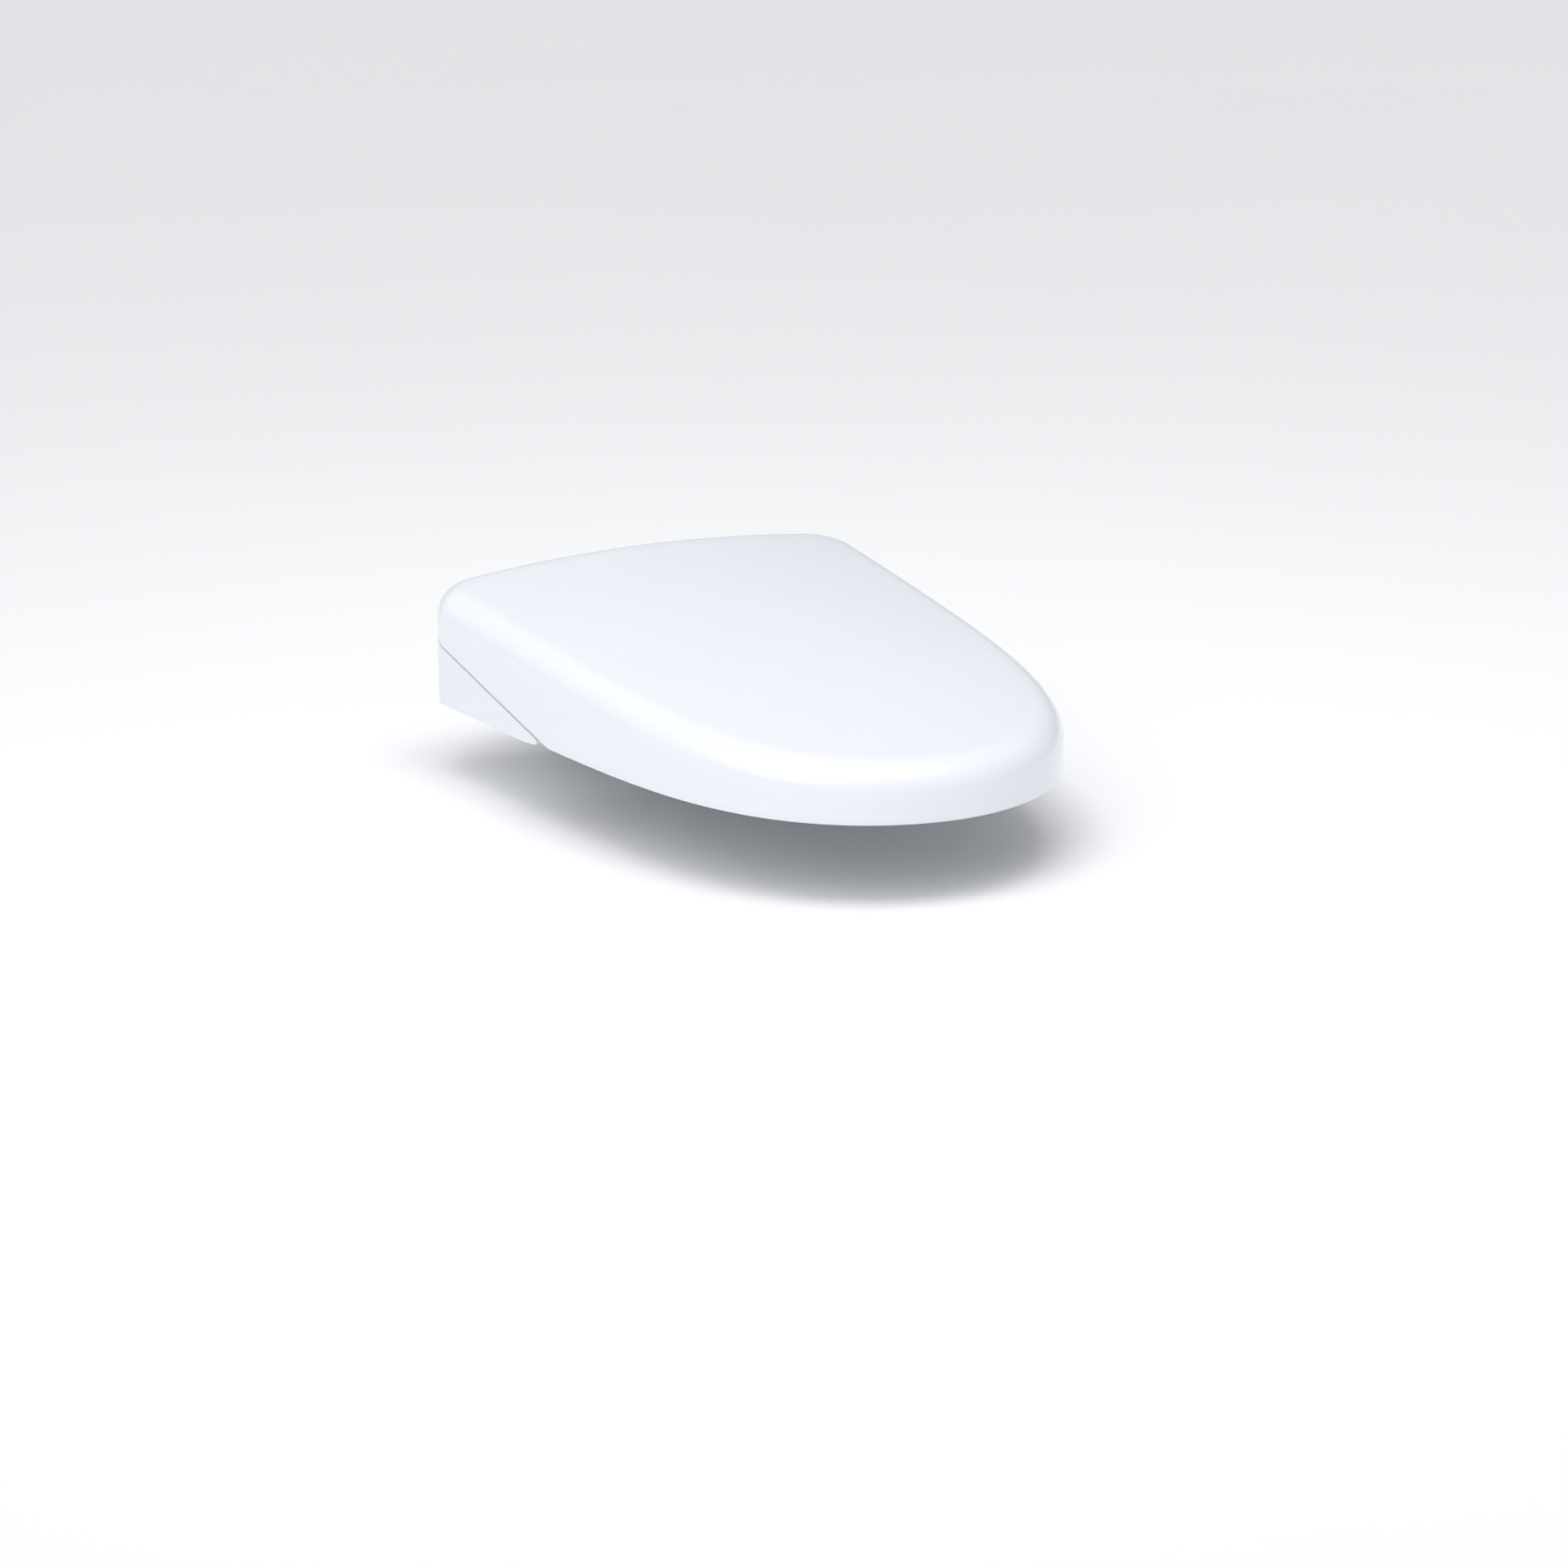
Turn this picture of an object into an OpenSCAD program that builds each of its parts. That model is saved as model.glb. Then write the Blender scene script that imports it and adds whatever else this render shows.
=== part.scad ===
/* [Lid] */
// Width of the lid at its rear corners
lid_w = 386; // [320:1:470]
// Length of the lid from its rear face to its front tip
lid_len = 513; // [425:1:620]
// Distance from the bowl bolts back to the rear face of the lid
back_y = 43; // [38:0.5:52]
// Plan radius of the rear corners
corner_r = 40.5; // [34:0.5:49]
// Bow of the rear face between its corners
back_bulge = 3; // [1:0.1:4]
// Share of the width that the sides lose on the way to the tip
nose_taper = 0.155; // [0.12:0.005:0.19]
// Power of the side curve
side_power = 5.5; // [4.5:0.1:6.6]
// Power of the tip curve
tip_power = 1.91; // [1.8:0.01:2.3]
// Height of the lid's top at the rear face, above the bowl rim
rear_h = 106; // [100:0.5:127]
// Height of the lid's top at the front tip
front_h = 44.8; // [42:0.2:54]
// Drop of the top from the middle to the sides
lid_arch = 12; // [9:0.5:15]
// Extra rise of the top halfway along
lid_crown = 3; // [2:0.1:4]
// Radius of the lid's rounded shoulder
shoulder_r = 21; // [17:0.5:25]
// Wall of the lid
lid_wall = 3.5; // [2.8:0.1:4.2]
// Height of the skirt's lower edge at the front and sides
skirt_z = 4; // [3:0.1:5]

/* [Seam between lid and base] */
// Height of the seam at the rear face
seam_back_h = 60.2; // [56:0.1:64]
// Rise of the seam for each mm along the base
seam_slope = 0.28; // [0.25:0.005:0.3]
// Gap between the lid's edge and the side panels
seam_gap = 0.8; // [0.5:0.1:1.5]

/* [Hinges] */
// Distance of the hinge axis behind the bowl bolts
hinge_y = 31; // [29:0.1:32]
// Height of the hinge axis
hinge_z = 57; // [54:0.1:60]
// Radius of the hinge pins
pin_r = 4; // [3.3:0.1:4.8]
// Running clearance of a pin or shaft in its bore
run_fit = 0.05; // [0.02:0.01:0.09]
// Radius of the hinge bosses
boss_r = 7; // [6.5:0.1:7.5]
// Width of a seat arm
arm_w = 9; // [7.5:0.1:10.8]
// Width of a lid ear
ear_w = 8; // [6.7:0.1:9]
// Side gap between neighbouring hinge leaves
leaf_gap = 1; // [0.6:0.1:1.3]

/* [Housing] */
// Thickness of a cheek
cheek_w = 6; // [5:0.1:7]
// Distance from the bowl bolts to the housing's front face
housing_run = 107; // [102:0.5:112]
// Height of the housing's lower edge
housing_z = 8; // [7:0.1:9]
// Wall of the housing cover
cover_wall = 2.5; // [2:0.1:3]
// Gap between the lid and the housing cover
roof_gap = 5; // [4:0.1:6.5]
// Thickness of the base floor
floor_t = 4; // [3:0.1:4.8]
// Height of the floor's underside above the bowl rim
floor_z = 2; // [1.6:0.1:2.4]
// Height of the base's rear wall
rear_wall_h = 34; // [28:0.5:36]

/* [Side panels] */
// Distance along the base from the bolts to a panel's nose
nose_run = 142; // [136:1:150]
// Wall of a side panel
panel_wall = 4; // [3.3:0.1:4.8]
// Width of the strip that runs out to the nose
strip_w = 6; // [5:0.1:7]
// Width of a panel's deck
deck_w = 29; // [28:0.5:35]
// Gap between a lid ear and the panel
deck_gap = 3; // [2.5:0.1:4]

/* [Seat ring] */
// Distance of the ring's edge inside the lid's outline
seat_inset = 8; // [7.5:0.1:9.6]
// Gap between the ring's crest and the lid
seat_gap = 6; // [5:0.1:7.2]
// Width of the ring beside the opening
side_land = 71; // [60:1:85]
// Length of the ring in front of the opening
front_land = 50; // [42:1:60]
// Width of the bridge behind the opening
bridge_w = 35; // [29:0.5:42]
// Height of the ring's underside above the bowl rim
seat_low = 9; // [7.5:0.1:10.8]
// Height of the underside over the nozzle
seat_high = 34; // [32:0.1:36]
// Thickness of the ring's bottom plate
seat_plate = 3; // [2.5:0.1:3.6]
// Gap between the ring and the housing
seat_back_gap = 5; // [4:0.1:6]

/* [Bowl fixing] */
// Distance between the two bowl bolts
bolt_span = 140; // [130:1:150]
// Radius of the bowl bolts
bolt_r = 4; // [3.3:0.1:4.8]
// Length of the bolts below the bowl rim
bolt_drop = 58; // [48:1:70]
// Half width of the mounting plate
plate_x = 94; // [88:1:96]
// Length of the mounting plate
plate_len = 70; // [60:1:74]
// Thickness of the mounting plate
plate_t = 5; // [4:0.1:5.4]
// Thickness of the gasket under the plate
gasket_t = 1; // [0.8:0.1:1.2]
// Clearance of the plate in its channel
dock_fit = 0.5; // [0.3:0.1:0.8]
// Height of the channel over the plate
channel_h = 12.5; // [12:0.1:15]

/* [Nozzle] */
// Slope of the nozzle below the horizontal
nozzle_tilt = 25; // [22:0.5:28]
// Height of the nozzle's middle at the housing front
nozzle_z = 24; // [22:0.5:25]
// Radius of the wand
wand_r = 7; // [5.8:0.1:8.4]
// Length of the wand
wand_len = 98; // [85:1:104]
// Tooth pitch of the nozzle's rack
rack_pitch = 3.1416; // [2.8:0.0001:3.5]
// Number of teeth on the nozzle's pinion
pinion_teeth = 12; // [12:1:12]

/* [Water] */
// Radius of the water inlet's thread
inlet_r = 10.48; // [9:0.01:11]
// Length of the inlet's thread
inlet_len = 13; // [11:0.5:16]
// Distance of the inlet inside the lid's widest point
inlet_in = 14.7; // [14.4:0.1:15]

/* [Hidden] */
$fn = 48;

white = [0.93, 0.94, 0.97];
light_grey = [0.78, 0.8, 0.83];
mid_grey = [0.5, 0.52, 0.55];
dark_grey = [0.16, 0.17, 0.19];
steel = [0.75, 0.76, 0.78];
copper = [0.75, 0.45, 0.25];
green = [0.1, 0.4, 0.25];

half_w = lid_w / 2;
front_y = back_y - lid_len;
corner_y = back_y - corner_r;
run = lid_len - corner_r;
mid_y = (back_y + front_y) / 2;
flat_x = half_w - corner_r;

// Steps along the tip, the sides, a rear corner and half of the back
tip_steps = 12;
side_steps = 7;
corner_steps = 5;
back_steps = 2;
arc_steps = 4;
u_split = 0.5;
v_split = asin(pow(u_split, side_power / 2));

function half_width(u) =
    half_w * (1 - nose_taper * u) * pow(max(0, 1 - pow(u, side_power)), 1 / tip_power);
function side_point(u) = [half_width(u), corner_y - run * u];
function tip_u(v) = pow(sin(v), 2 / side_power);
function mirrored(half) =
    concat(half, [for (i = [len(half) - 2:-1:1]) [-half[i][0], half[i][1]]]);
function left_of(v) = [-v[1], v[0]] / norm(v);
function inset(points, d) = [for (i = [0:len(points) - 1])
    let (n = len(points),
        a = left_of(points[i] - points[(i + n - 1) % n]),
        b = left_of(points[(i + 1) % n] - points[i]))
    points[i] + d * (a + b) / (1 + a * b)];
function lid_top(x, y) = front_h + (rear_h - front_h) * (y - front_y) / lid_len
    - lid_arch * pow(x / half_w, 2) + lid_crown * sin(180 * (y - front_y) / lid_len);
function seam(y) = seam_back_h + seam_slope * (y - back_y);
function lid_edge(y) = max(skirt_z, seam(y)) + seam_gap / 2;

function half_outline(k) = let (tip = tip_steps * k, side = side_steps * k, corner = corner_steps * k,
    back = back_steps * k) concat(
    [for (i = [0:tip - 1]) side_point(tip_u(90 - (90 - v_split) * i / tip))],
    [for (i = [0:side - 1]) side_point(u_split * (1 - i / side))],
    [for (i = [0:corner - 1]) let (a = 90 * i / corner)
        [flat_x + corner_r * cos(a), corner_y + corner_r * sin(a)]],
    [for (i = [0:back]) let (x = flat_x * (1 - i / back))
        [x, back_y + back_bulge * (1 - pow(x / flat_x, 2))]]);
// The lid and seat follow the outline in few steps, the base in three times as many
outline = mirrored(half_outline(1));
fine_outline = mirrored(half_outline(3));

// Places along the hinge axis, from the cheek outwards
panel_x = half_w - deck_w;
cheek_x = panel_x - deck_gap - ear_w - arm_w - 2 * leaf_gap;
arm_x = cheek_x + leaf_gap;
ear_x = arm_x + arm_w + leaf_gap;
pin_end = ear_x + ear_w + leaf_gap;
damper_len = 36;
damper_r = boss_r - cover_wall - 0.2;

// Housing profile in the plane of Y and Z
housing_y = -housing_run;
roof_rear = lid_top(cheek_x, hinge_y - 11) - lid_wall - roof_gap;
roof_front = lid_top(cheek_x, housing_y + 10) - lid_wall - roof_gap;
barrel_y = hinge_y - 3;
roof_r = 8;
brow_r = 12;
cover_x = cheek_x - cheek_w - 0.5;
floor_top = floor_z + floor_t;
housing_profile = concat(
    [[housing_y, housing_z], [barrel_y, housing_z], [barrel_y, hinge_z - boss_r]],
    [for (a = [-90:20:110]) [hinge_y + boss_r * cos(a), hinge_z + boss_r * sin(a)]],
    [for (a = [0:15:90]) [barrel_y - roof_r * (1 - cos(a)), roof_rear - roof_r * (1 - sin(a))]],
    [for (a = [90:-15:0]) [housing_y + brow_r * (1 - cos(a)), roof_front - brow_r * (1 - sin(a))]]);

// The open lid's rear skirt needs this much room around the axis
sweep_r = back_y + back_bulge - hinge_y + 2;
sweep_x = flat_x + sqrt(pow(corner_r, 2) - pow(hinge_y - corner_y, 2)) + 1.7;

seat_back = housing_y - seat_back_gap;
seat_corner = 14;
seat_edge = inset(outline, seat_inset);
seat_side = [for (i = [0:len(outline) / 2])
    if (seat_edge[i][1] < seat_back - seat_corner - 3) seat_edge[i]];
seat_x = seat_side[len(seat_side) - 1][0];
seat_outline = mirrored(concat(seat_side,
    [for (a = [0:30:90]) [seat_x + seat_corner * (cos(a) - 1),
        seat_back + seat_corner * (sin(a) - 1)]],
    [[seat_x / 2, seat_back], [0, seat_back]]));
seat_front = front_y + seat_inset;
seat_mid = (seat_back + seat_front) / 2;
hole_back = seat_back - bridge_w;
hole_len = hole_back - seat_front - front_land;
hole_w = 2 * (seat_x - side_land);
hole_mid = hole_back - hole_len / 2;
ramp_top_y = seat_back - 20;
ramp_low_y = ramp_top_y - 38;
pad_points = [4, 12];
function seat_under(y) = y > ramp_top_y ? seat_high : y < ramp_low_y ? seat_low
    : seat_low + (seat_high - seat_low) * (y - ramp_low_y) / (ramp_top_y - ramp_low_y);
function hole_point(p) =
    let (a = atan2((p[1] - seat_mid) / (seat_back - seat_mid), p[0] / seat_x))
    [hole_w / 2 * cos(a), hole_mid + hole_len / 2 * sin(a)];
function ring_point(p, f) = p * (1 - f) + hole_point(p) * f;
function crest(q) = lid_top(q[0], q[1]) - lid_wall - seat_gap;
function ring_top(f, drop) = [for (p = seat_outline) let (q = ring_point(p, f))
    [q[0], q[1], crest(q) - drop]];
function ring_low(f, rise) = [for (p = seat_outline) let (q = ring_point(p, f))
    [q[0], q[1], seat_under(q[1]) + rise]];
// Share of the ring's width against the drop below its crest, outside and inside
seat_skin = [[0, 14], [0.05, 6], [0.15, 1.5], [0.3, 0], [0.55, 1], [0.8, 5], [0.95, 12], [1, 17]];
seat_inside = [[0.92, 17], [0.76, 9.5], [0.55, 4.5], [0.3, 3.5], [0.16, 6], [0.08, 14]];

nozzle_y = housing_y;
wand_front = 2;
pitch_r = rack_pitch * pinion_teeth / (2 * PI);
rack_base = wand_r + 1.5;
pitch_line = rack_base + 1.2;
pinion_s = 26;
pinion_h = pitch_line + pitch_r;

module block(lo, hi) {
    translate(lo) cube(hi - lo);
}

module along_x(x0, x1) {
    translate([x0, 0, 0]) rotate([90, 0, 90]) linear_extrude(x1 - x0) children();
}

module rod_x(x0, x1, y, z, r) {
    translate([x0, y, z]) rotate([0, 90, 0]) cylinder(r = r, h = x1 - x0);
}

module rod_y(y0, y1, x, z, r) {
    translate([x, y1, z]) rotate([90, 0, 0]) cylinder(r = r, h = y1 - y0);
}

module rod_z(z0, z1, x, y, r) {
    translate([x, y, z0]) cylinder(r = r, h = z1 - z0);
}

module both() {
    children();
    mirror([1, 0, 0]) children();
}

module on_left() {
    mirror([1, 0, 0]) children();
}

module round_plate(size, r, h) {
    linear_extrude(h) {
        square([size[0] - 2 * r, size[1]], center = true);
        square([size[0], size[1] - 2 * r], center = true);
        for (x = [-1, 1], y = [-1, 1])
            translate([x * (size[0] / 2 - r), y * (size[1] / 2 - r)]) circle(r);
    }
}

module round_block(lo, hi, r) {
    translate([(lo[0] + hi[0]) / 2, (lo[1] + hi[1]) / 2, lo[2]])
        round_plate([hi[0] - lo[0], hi[1] - lo[1]], r, hi[2] - lo[2]);
}

// Skin through rings of equal length, closed by a fan at each end
module loft(rings, first, last) {
    n = len(rings[0]);
    m = len(rings);
    points = concat([for (r = rings, p = r) p], [first, last]);
    polyhedron(points, concat(
        [for (j = [0:m - 2], i = [0:n - 1]) [j * n + i, (j + 1) * n + i, (j + 1) * n + (i + 1) % n]],
        [for (j = [0:m - 2], i = [0:n - 1]) [j * n + i, (j + 1) * n + (i + 1) % n, j * n + (i + 1) % n]],
        [for (i = [0:n - 1]) [m * n, i, (i + 1) % n]],
        [for (i = [0:n - 1]) [(m - 1) * n + i, m * n + 1, (m - 1) * n + (i + 1) % n]]));
}

// Skin through rings of equal length, the last joined back to the first
module ring_loft(rings) {
    n = len(rings[0]);
    m = len(rings);
    polyhedron([for (r = rings, p = r) p], concat(
        [for (j = [0:m - 1], i = [0:n - 1])
            [j * n + i, ((j + 1) % m) * n + i, ((j + 1) % m) * n + (i + 1) % n]],
        [for (j = [0:m - 1], i = [0:n - 1])
            [j * n + i, ((j + 1) % m) * n + (i + 1) % n, j * n + (i + 1) % n]]));
}

// Rings of the lid's skin at a depth below its outside, from the edge to the middle
function dome(depth) =
    let (r = shoulder_r - depth, top = inset(outline, shoulder_r))
    concat([[for (p = inset(outline, depth)) [p[0], p[1], lid_edge(p[1])]]],
        [for (k = [0:arc_steps]) let (a = 90 * k / arc_steps)
            [for (p = inset(outline, depth + r * (1 - cos(a))))
                [p[0], p[1], lid_top(p[0], p[1]) - depth - r * (1 - sin(a))]]],
        [for (s = [0.7, 0.4]) [for (p = top)
            let (x = p[0] * s, y = mid_y + (p[1] - mid_y) * s) [x, y, lid_top(x, y) - depth]]]);

module lid_shell() {
    inside = dome(lid_wall);
    m = len(inside);
    centre = lid_top(0, mid_y);
    color(white) loft(concat([for (i = [m - 1:-1:0]) inside[i]], dome(0)),
        [0, mid_y, centre - lid_wall], [0, mid_y, centre]);
}

ear_low = [hinge_y - 46, hinge_z + 17];
function ear_top(y) = lid_top(ear_x + ear_w, y) - lid_wall - 1.6;

module lid_ear() {
    difference() {
        union() {
            rod_x(ear_x, ear_x + ear_w, hinge_y, hinge_z, boss_r);
            along_x(ear_x, ear_x + ear_w) polygon([
                [hinge_y - boss_r, hinge_z], [hinge_y + boss_r - 1, hinge_z + 2],
                [hinge_y + boss_r - 2, hinge_z + 16], [hinge_y - 12, ear_top(hinge_y - 12)],
                [ear_low[0], ear_top(ear_low[0])], ear_low, [hinge_y - 20, hinge_z + 14]]);
        }
        rod_x(ear_x - 1, ear_x + ear_w + 1, hinge_y, hinge_z, pin_r + run_fit);
    }
}

module lid_ear_right() {
    color(white) lid_ear();
}

module lid_ear_left() {
    color(white) on_left() lid_ear();
}

lid_pads = [for (i = pad_points) ring_point(seat_outline[i], 0.3)];

module lid_bumpers() {
    color(light_grey) both() for (p = lid_pads)
        rod_z(lid_top(p[0], p[1]) - lid_wall - seat_gap + 1.2, lid_top(p[0], p[1]) - lid_wall - 1.6,
            p[0], p[1], 5);
}

module seat_top() {
    color(white) ring_loft(concat(
        [ring_low(0, 0)],
        [for (s = seat_skin) ring_top(s[0], s[1])],
        [ring_low(1, 0), ring_low(0.92, 0)],
        [for (s = seat_inside) ring_top(s[0], s[1])],
        [ring_low(0.08, 0)]));
}

module seat_bottom() {
    shares = [0.1, 0.35, 0.9];
    color(light_grey) ring_loft(concat([for (f = shares) ring_low(f, seat_plate)],
        [for (i = [len(shares) - 1:-1:0]) ring_low(shares[i], 0)]));
}

module seat_heater() {
    color(copper) ring_loft(
        [ring_top(0.3, 4.9), ring_top(0.3, 4.2), ring_top(0.55, 5.2), ring_top(0.55, 5.9)]);
}

seat_pads = [for (i = pad_points) ring_point(seat_outline[i], 0.5)];

module seat_bumpers() {
    color(light_grey) both() for (p = seat_pads) rod_z(0, seat_low, p[0], p[1], 8);
}

module seat_arm() {
    step_y = seat_back + 1.5;
    difference() {
        union() {
            rod_x(arm_x, arm_x + arm_w, hinge_y, hinge_z, boss_r);
            along_x(arm_x, arm_x + arm_w) polygon([[hinge_y, hinge_z - boss_r], [hinge_y, hinge_z + boss_r],
                [step_y, seat_high + 12], [step_y, seat_high - 0.9], [seat_back - 12, seat_high - 0.9],
                [seat_back - 12, seat_high - 6]]);
        }
        rod_x(arm_x - 1, arm_x + arm_w + 1, hinge_y, hinge_z, pin_r + run_fit);
    }
}

module seat_arm_right() {
    color(white) seat_arm();
}

module seat_arm_left() {
    color(white) on_left() seat_arm();
}

channel_x = plate_x + dock_fit;
channel_wall = 3;
channel_front = -plate_len / 2 - dock_fit;
lip_in = 6;

module base_pan() {
    color(white) difference() {
        union() {
            // Floor inside the side panels
            translate([0, 0, floor_z]) linear_extrude(floor_t) intersection() {
                polygon(inset(fine_outline, panel_wall + 0.5));
                translate([-half_w, housing_y]) square([lid_w, housing_run + back_y]);
            }
            // Rear wall, flush with the lid's outline
            translate([0, 0, floor_z]) linear_extrude(rear_wall_h - floor_z) intersection() {
                difference() {
                    polygon(fine_outline);
                    polygon(inset(fine_outline, lid_wall));
                }
                translate([-panel_x + 0.5, corner_y]) square([2 * panel_x - 1, corner_r + 10]);
            }
            // Cheeks at both ends of the housing
            both() along_x(cheek_x - cheek_w, cheek_x) polygon(housing_profile);
            both() block([cheek_x - cheek_w, housing_y, floor_top - 1], [cheek_x, barrel_y, housing_z + 1]);
            // Roof of the channel for the mounting plate
            block([-channel_x - channel_wall, channel_front - channel_wall, floor_z],
                [channel_x + channel_wall, back_y - 1, channel_h + channel_wall]);
        }
        // Channel, open to the rear
        block([-channel_x, channel_front, -1], [channel_x, back_y + 9, channel_h]);
        both() rod_x(cheek_x - cheek_w - 1, cheek_x + 1, hinge_y, hinge_z, pin_r);
        both() block([cheek_x - cheek_w - 1, filter_y0 - 0.6, filter_z0 - 0.6],
            [cheek_x + 1, filter_y1 + 0.6, filter_z1 + 0.6]);
        rod_z(floor_z - 1, floor_top + 1, inlet_x, inlet_y, neck_r + 0.3);
        rod_x(cheek_x - cheek_w - 1, cheek_x + 1, inlet_y, hose_z, hose_r + 0.4);
        rod_y(back_y - 9, back_y + 9, gland_x, gland_z, gland_r);
        for (p = screw_places) rod_z(floor_z - 1, floor_top + 1, p[0], p[1], 1.7);
    }
    // Lips that hold the plate's flanges down
    color(white) both()
        block([channel_x - lip_in, channel_front, floor_z], [channel_x, back_y - 1, floor_z + 1]);
}

dryer_c = [-cheek_x + 42, channel_front - channel_wall - 32.5];
dryer_port = [dryer_c[0] - 22, dryer_c[0] + 22, 20, 41];
nozzle_port = [-wand_r - 6, wand_r + 6, housing_z - 1, nozzle_z + wand_r + 9];

module housing_cover() {
    color(white) difference() {
        along_x(-cover_x, cover_x) polygon(housing_profile);
        along_x(-cover_x + cover_wall, cover_x - cover_wall) polygon(inset(housing_profile, cover_wall));
        block([-cover_x + cover_wall, housing_y + cover_wall, housing_z - 1],
            [cover_x - cover_wall, barrel_y - cover_wall, housing_z + cover_wall + 1]);
        for (p = [nozzle_port, dryer_port])
            block([p[0], housing_y - 1, p[2]], [p[1], housing_y + cover_wall + 1, p[3]]);
        block([cover_x - cover_wall - 1, filter_y0 - 0.6, housing_z - 1],
            [cover_x + 1, filter_y1 + 0.6, filter_z1 + 0.6]);
        block([window_x0, housing_y - 1, window_z0],
            [window_x1, housing_y + cover_wall + 1, window_z1]);
        rod_x(cover_x - cover_wall - 1, cover_x + 1, inlet_y, hose_z, hose_r + 0.4);
        for (x = [sensor_x, light_x]) rod_y(housing_y - 1, housing_y + cover_wall + 1, x, window_z0 + 5, 5);
        for (x = led_places) rod_z(roof_front - 9, roof_rear, x, led_y, 1.6);
        // Room for the roof of the channel
        block([-channel_x - channel_wall - 0.5, barrel_y - cover_wall - 1, 0],
            [channel_x + channel_wall + 0.5, barrel_y + 1, channel_h + channel_wall + 0.5]);
    }
}

// Side view of a panel: level bottom, rounded nose, and a top edge under the seam
panel_profile = let (tip = -nose_run, top = seam(-nose_run) - seam_gap / 2)
    [[-nose_run + 20, floor_z], [back_y + 5, floor_z], [back_y + 5, seam(back_y + 5) - seam_gap / 2],
        [tip + 2, top], [tip + 0.6, top - 1.2], [tip, top - 2.8], [tip + 1.5, top - 4.2], [tip + 6, top - 5]];

module panel_solid(points, x0, back) {
    intersection() {
        linear_extrude(seam_back_h + 10) intersection() {
            polygon(points);
            translate([x0, housing_y]) square([half_w, housing_run + back]);
        }
        along_x(x0, half_w + 1) polygon(panel_profile);
    }
}

module side_panel() {
    difference() {
        union() {
            panel_solid(fine_outline, panel_x, back_y + 5);
            intersection() {
                linear_extrude(seam_back_h) intersection() {
                    difference() {
                        polygon(fine_outline);
                        polygon(inset(fine_outline, strip_w));
                    }
                    translate([panel_x, -nose_run - 1]) square([half_w, nose_run - housing_run + 8]);
                }
                along_x(panel_x, half_w + 1) polygon(panel_profile);
            }
        }
        // Hollow under the deck, open below
        translate([0, 0, -panel_wall])
            panel_solid(inset(fine_outline, panel_wall), panel_x + panel_wall, back_y - 31);
        translate([0, 0, floor_z - 1]) linear_extrude(floor_t + 1.5) intersection() {
            polygon(inset(fine_outline, panel_wall));
            translate([panel_x - 1, housing_y - 0.5]) square([half_w, lid_len]);
        }
        // Room for the lid's rear skirt when it swings down behind the base
        rod_x(0, sweep_x, hinge_y, hinge_z, sweep_r);
        along_x(0, sweep_x) polygon([[hinge_y - 1, hinge_z - sweep_r], [back_y + 20, hinge_z - sweep_r - 9],
            [back_y + 20, rear_h], [hinge_y - 1, rear_h]]);
    }
}

filter_y1 = channel_front - channel_wall - 3.5;
filter_y0 = filter_y1 - 36;
filter_z0 = floor_top + 1.2;
filter_z1 = filter_z0 + 14;
filter_x0 = cheek_x - 24;
filter_face = half_w - 5;
button_y = -92;
button_z = 11;
key_y = -8;
key_z = 32;

module side_panel_right() {
    color(white) difference() {
        side_panel();
        block([panel_x - 1, filter_y0 - 0.6, filter_z0 - 0.6],
            [half_w + 1, filter_y1 + 0.6, filter_z1 + 0.6]);
        block([panel_x + 12, button_y - 7.4, button_z - 4.4],
            [half_w + 1, button_y + 7.4, button_z + 4.4]);
        rod_x(panel_x + 12, half_w + 1, key_y, key_z, 5.4);
        rod_x(panel_x - 1, panel_x + panel_wall + 1, inlet_y, hose_z, hose_r + 0.4);
    }
}

module side_panel_left() {
    color(white) on_left() side_panel();
}

module hinge_pin() {
    rod_x(cheek_x - cheek_w, pin_end, hinge_y, hinge_z, pin_r);
    rod_x(pin_end - 0.01, pin_end + 1.5, hinge_y, hinge_z, pin_r + 1);
}

module hinge_pin_right() {
    color(steel) hinge_pin();
}

module hinge_pin_left() {
    color(steel) on_left() hinge_pin();
}

module damper() {
    difference() {
        rod_x(cheek_x - cheek_w - 3 - damper_len, cheek_x - cheek_w - 3, hinge_y, hinge_z, damper_r);
        rod_x(cheek_x - cheek_w - 8, cheek_x - cheek_w - 2, hinge_y, hinge_z, 1.6);
    }
}

module lid_damper() {
    color(mid_grey) damper();
}

module seat_damper() {
    color(mid_grey) on_left() damper();
}

module base_pads() {
    color(dark_grey) both() for (p = [[cheek_x - 42, housing_y + 10], [cheek_x + 8, 24]])
        rod_z(0, floor_z, p[0], p[1], 8);
}

screw_places = [for (x = [-1, 1], y = [housing_y + 7, barrel_y + 2]) [x * (cheek_x - 16), y]];

module case_screws() {
    color(steel) for (p = screw_places) {
        rod_z(floor_z - 1.2, floor_z, p[0], p[1], 3.2);
        rod_z(floor_z - 0.01, floor_top + 8, p[0], p[1], 1.6);
    }
}

inlet_x = half_w - inlet_in;
inlet_y = -2;
neck_r = inlet_r - 1;
hose_z = floor_top + 12;
hose_r = 3;

module water_inlet() {
    color(light_grey) difference() {
        union() {
            rod_z(-inlet_len, 0, inlet_x, inlet_y, inlet_r);
            rod_z(-0.01, floor_top + 1, inlet_x, inlet_y, neck_r);
            rod_z(floor_top + 0.99, hose_z + 7, inlet_x, inlet_y, 7);
        }
        rod_z(-inlet_len - 1, hose_z + 2, inlet_x, inlet_y, 4);
        rod_x(panel_x + 2, inlet_x, inlet_y, hose_z, hose_r);
    }
}

valve_x1 = cheek_x - 10;
valve_x0 = valve_x1 - 28;

module inlet_hose() {
    color(mid_grey) rod_x(valve_x1 + 0.01, inlet_x - 7.2, inlet_y, hose_z, hose_r);
}

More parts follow.
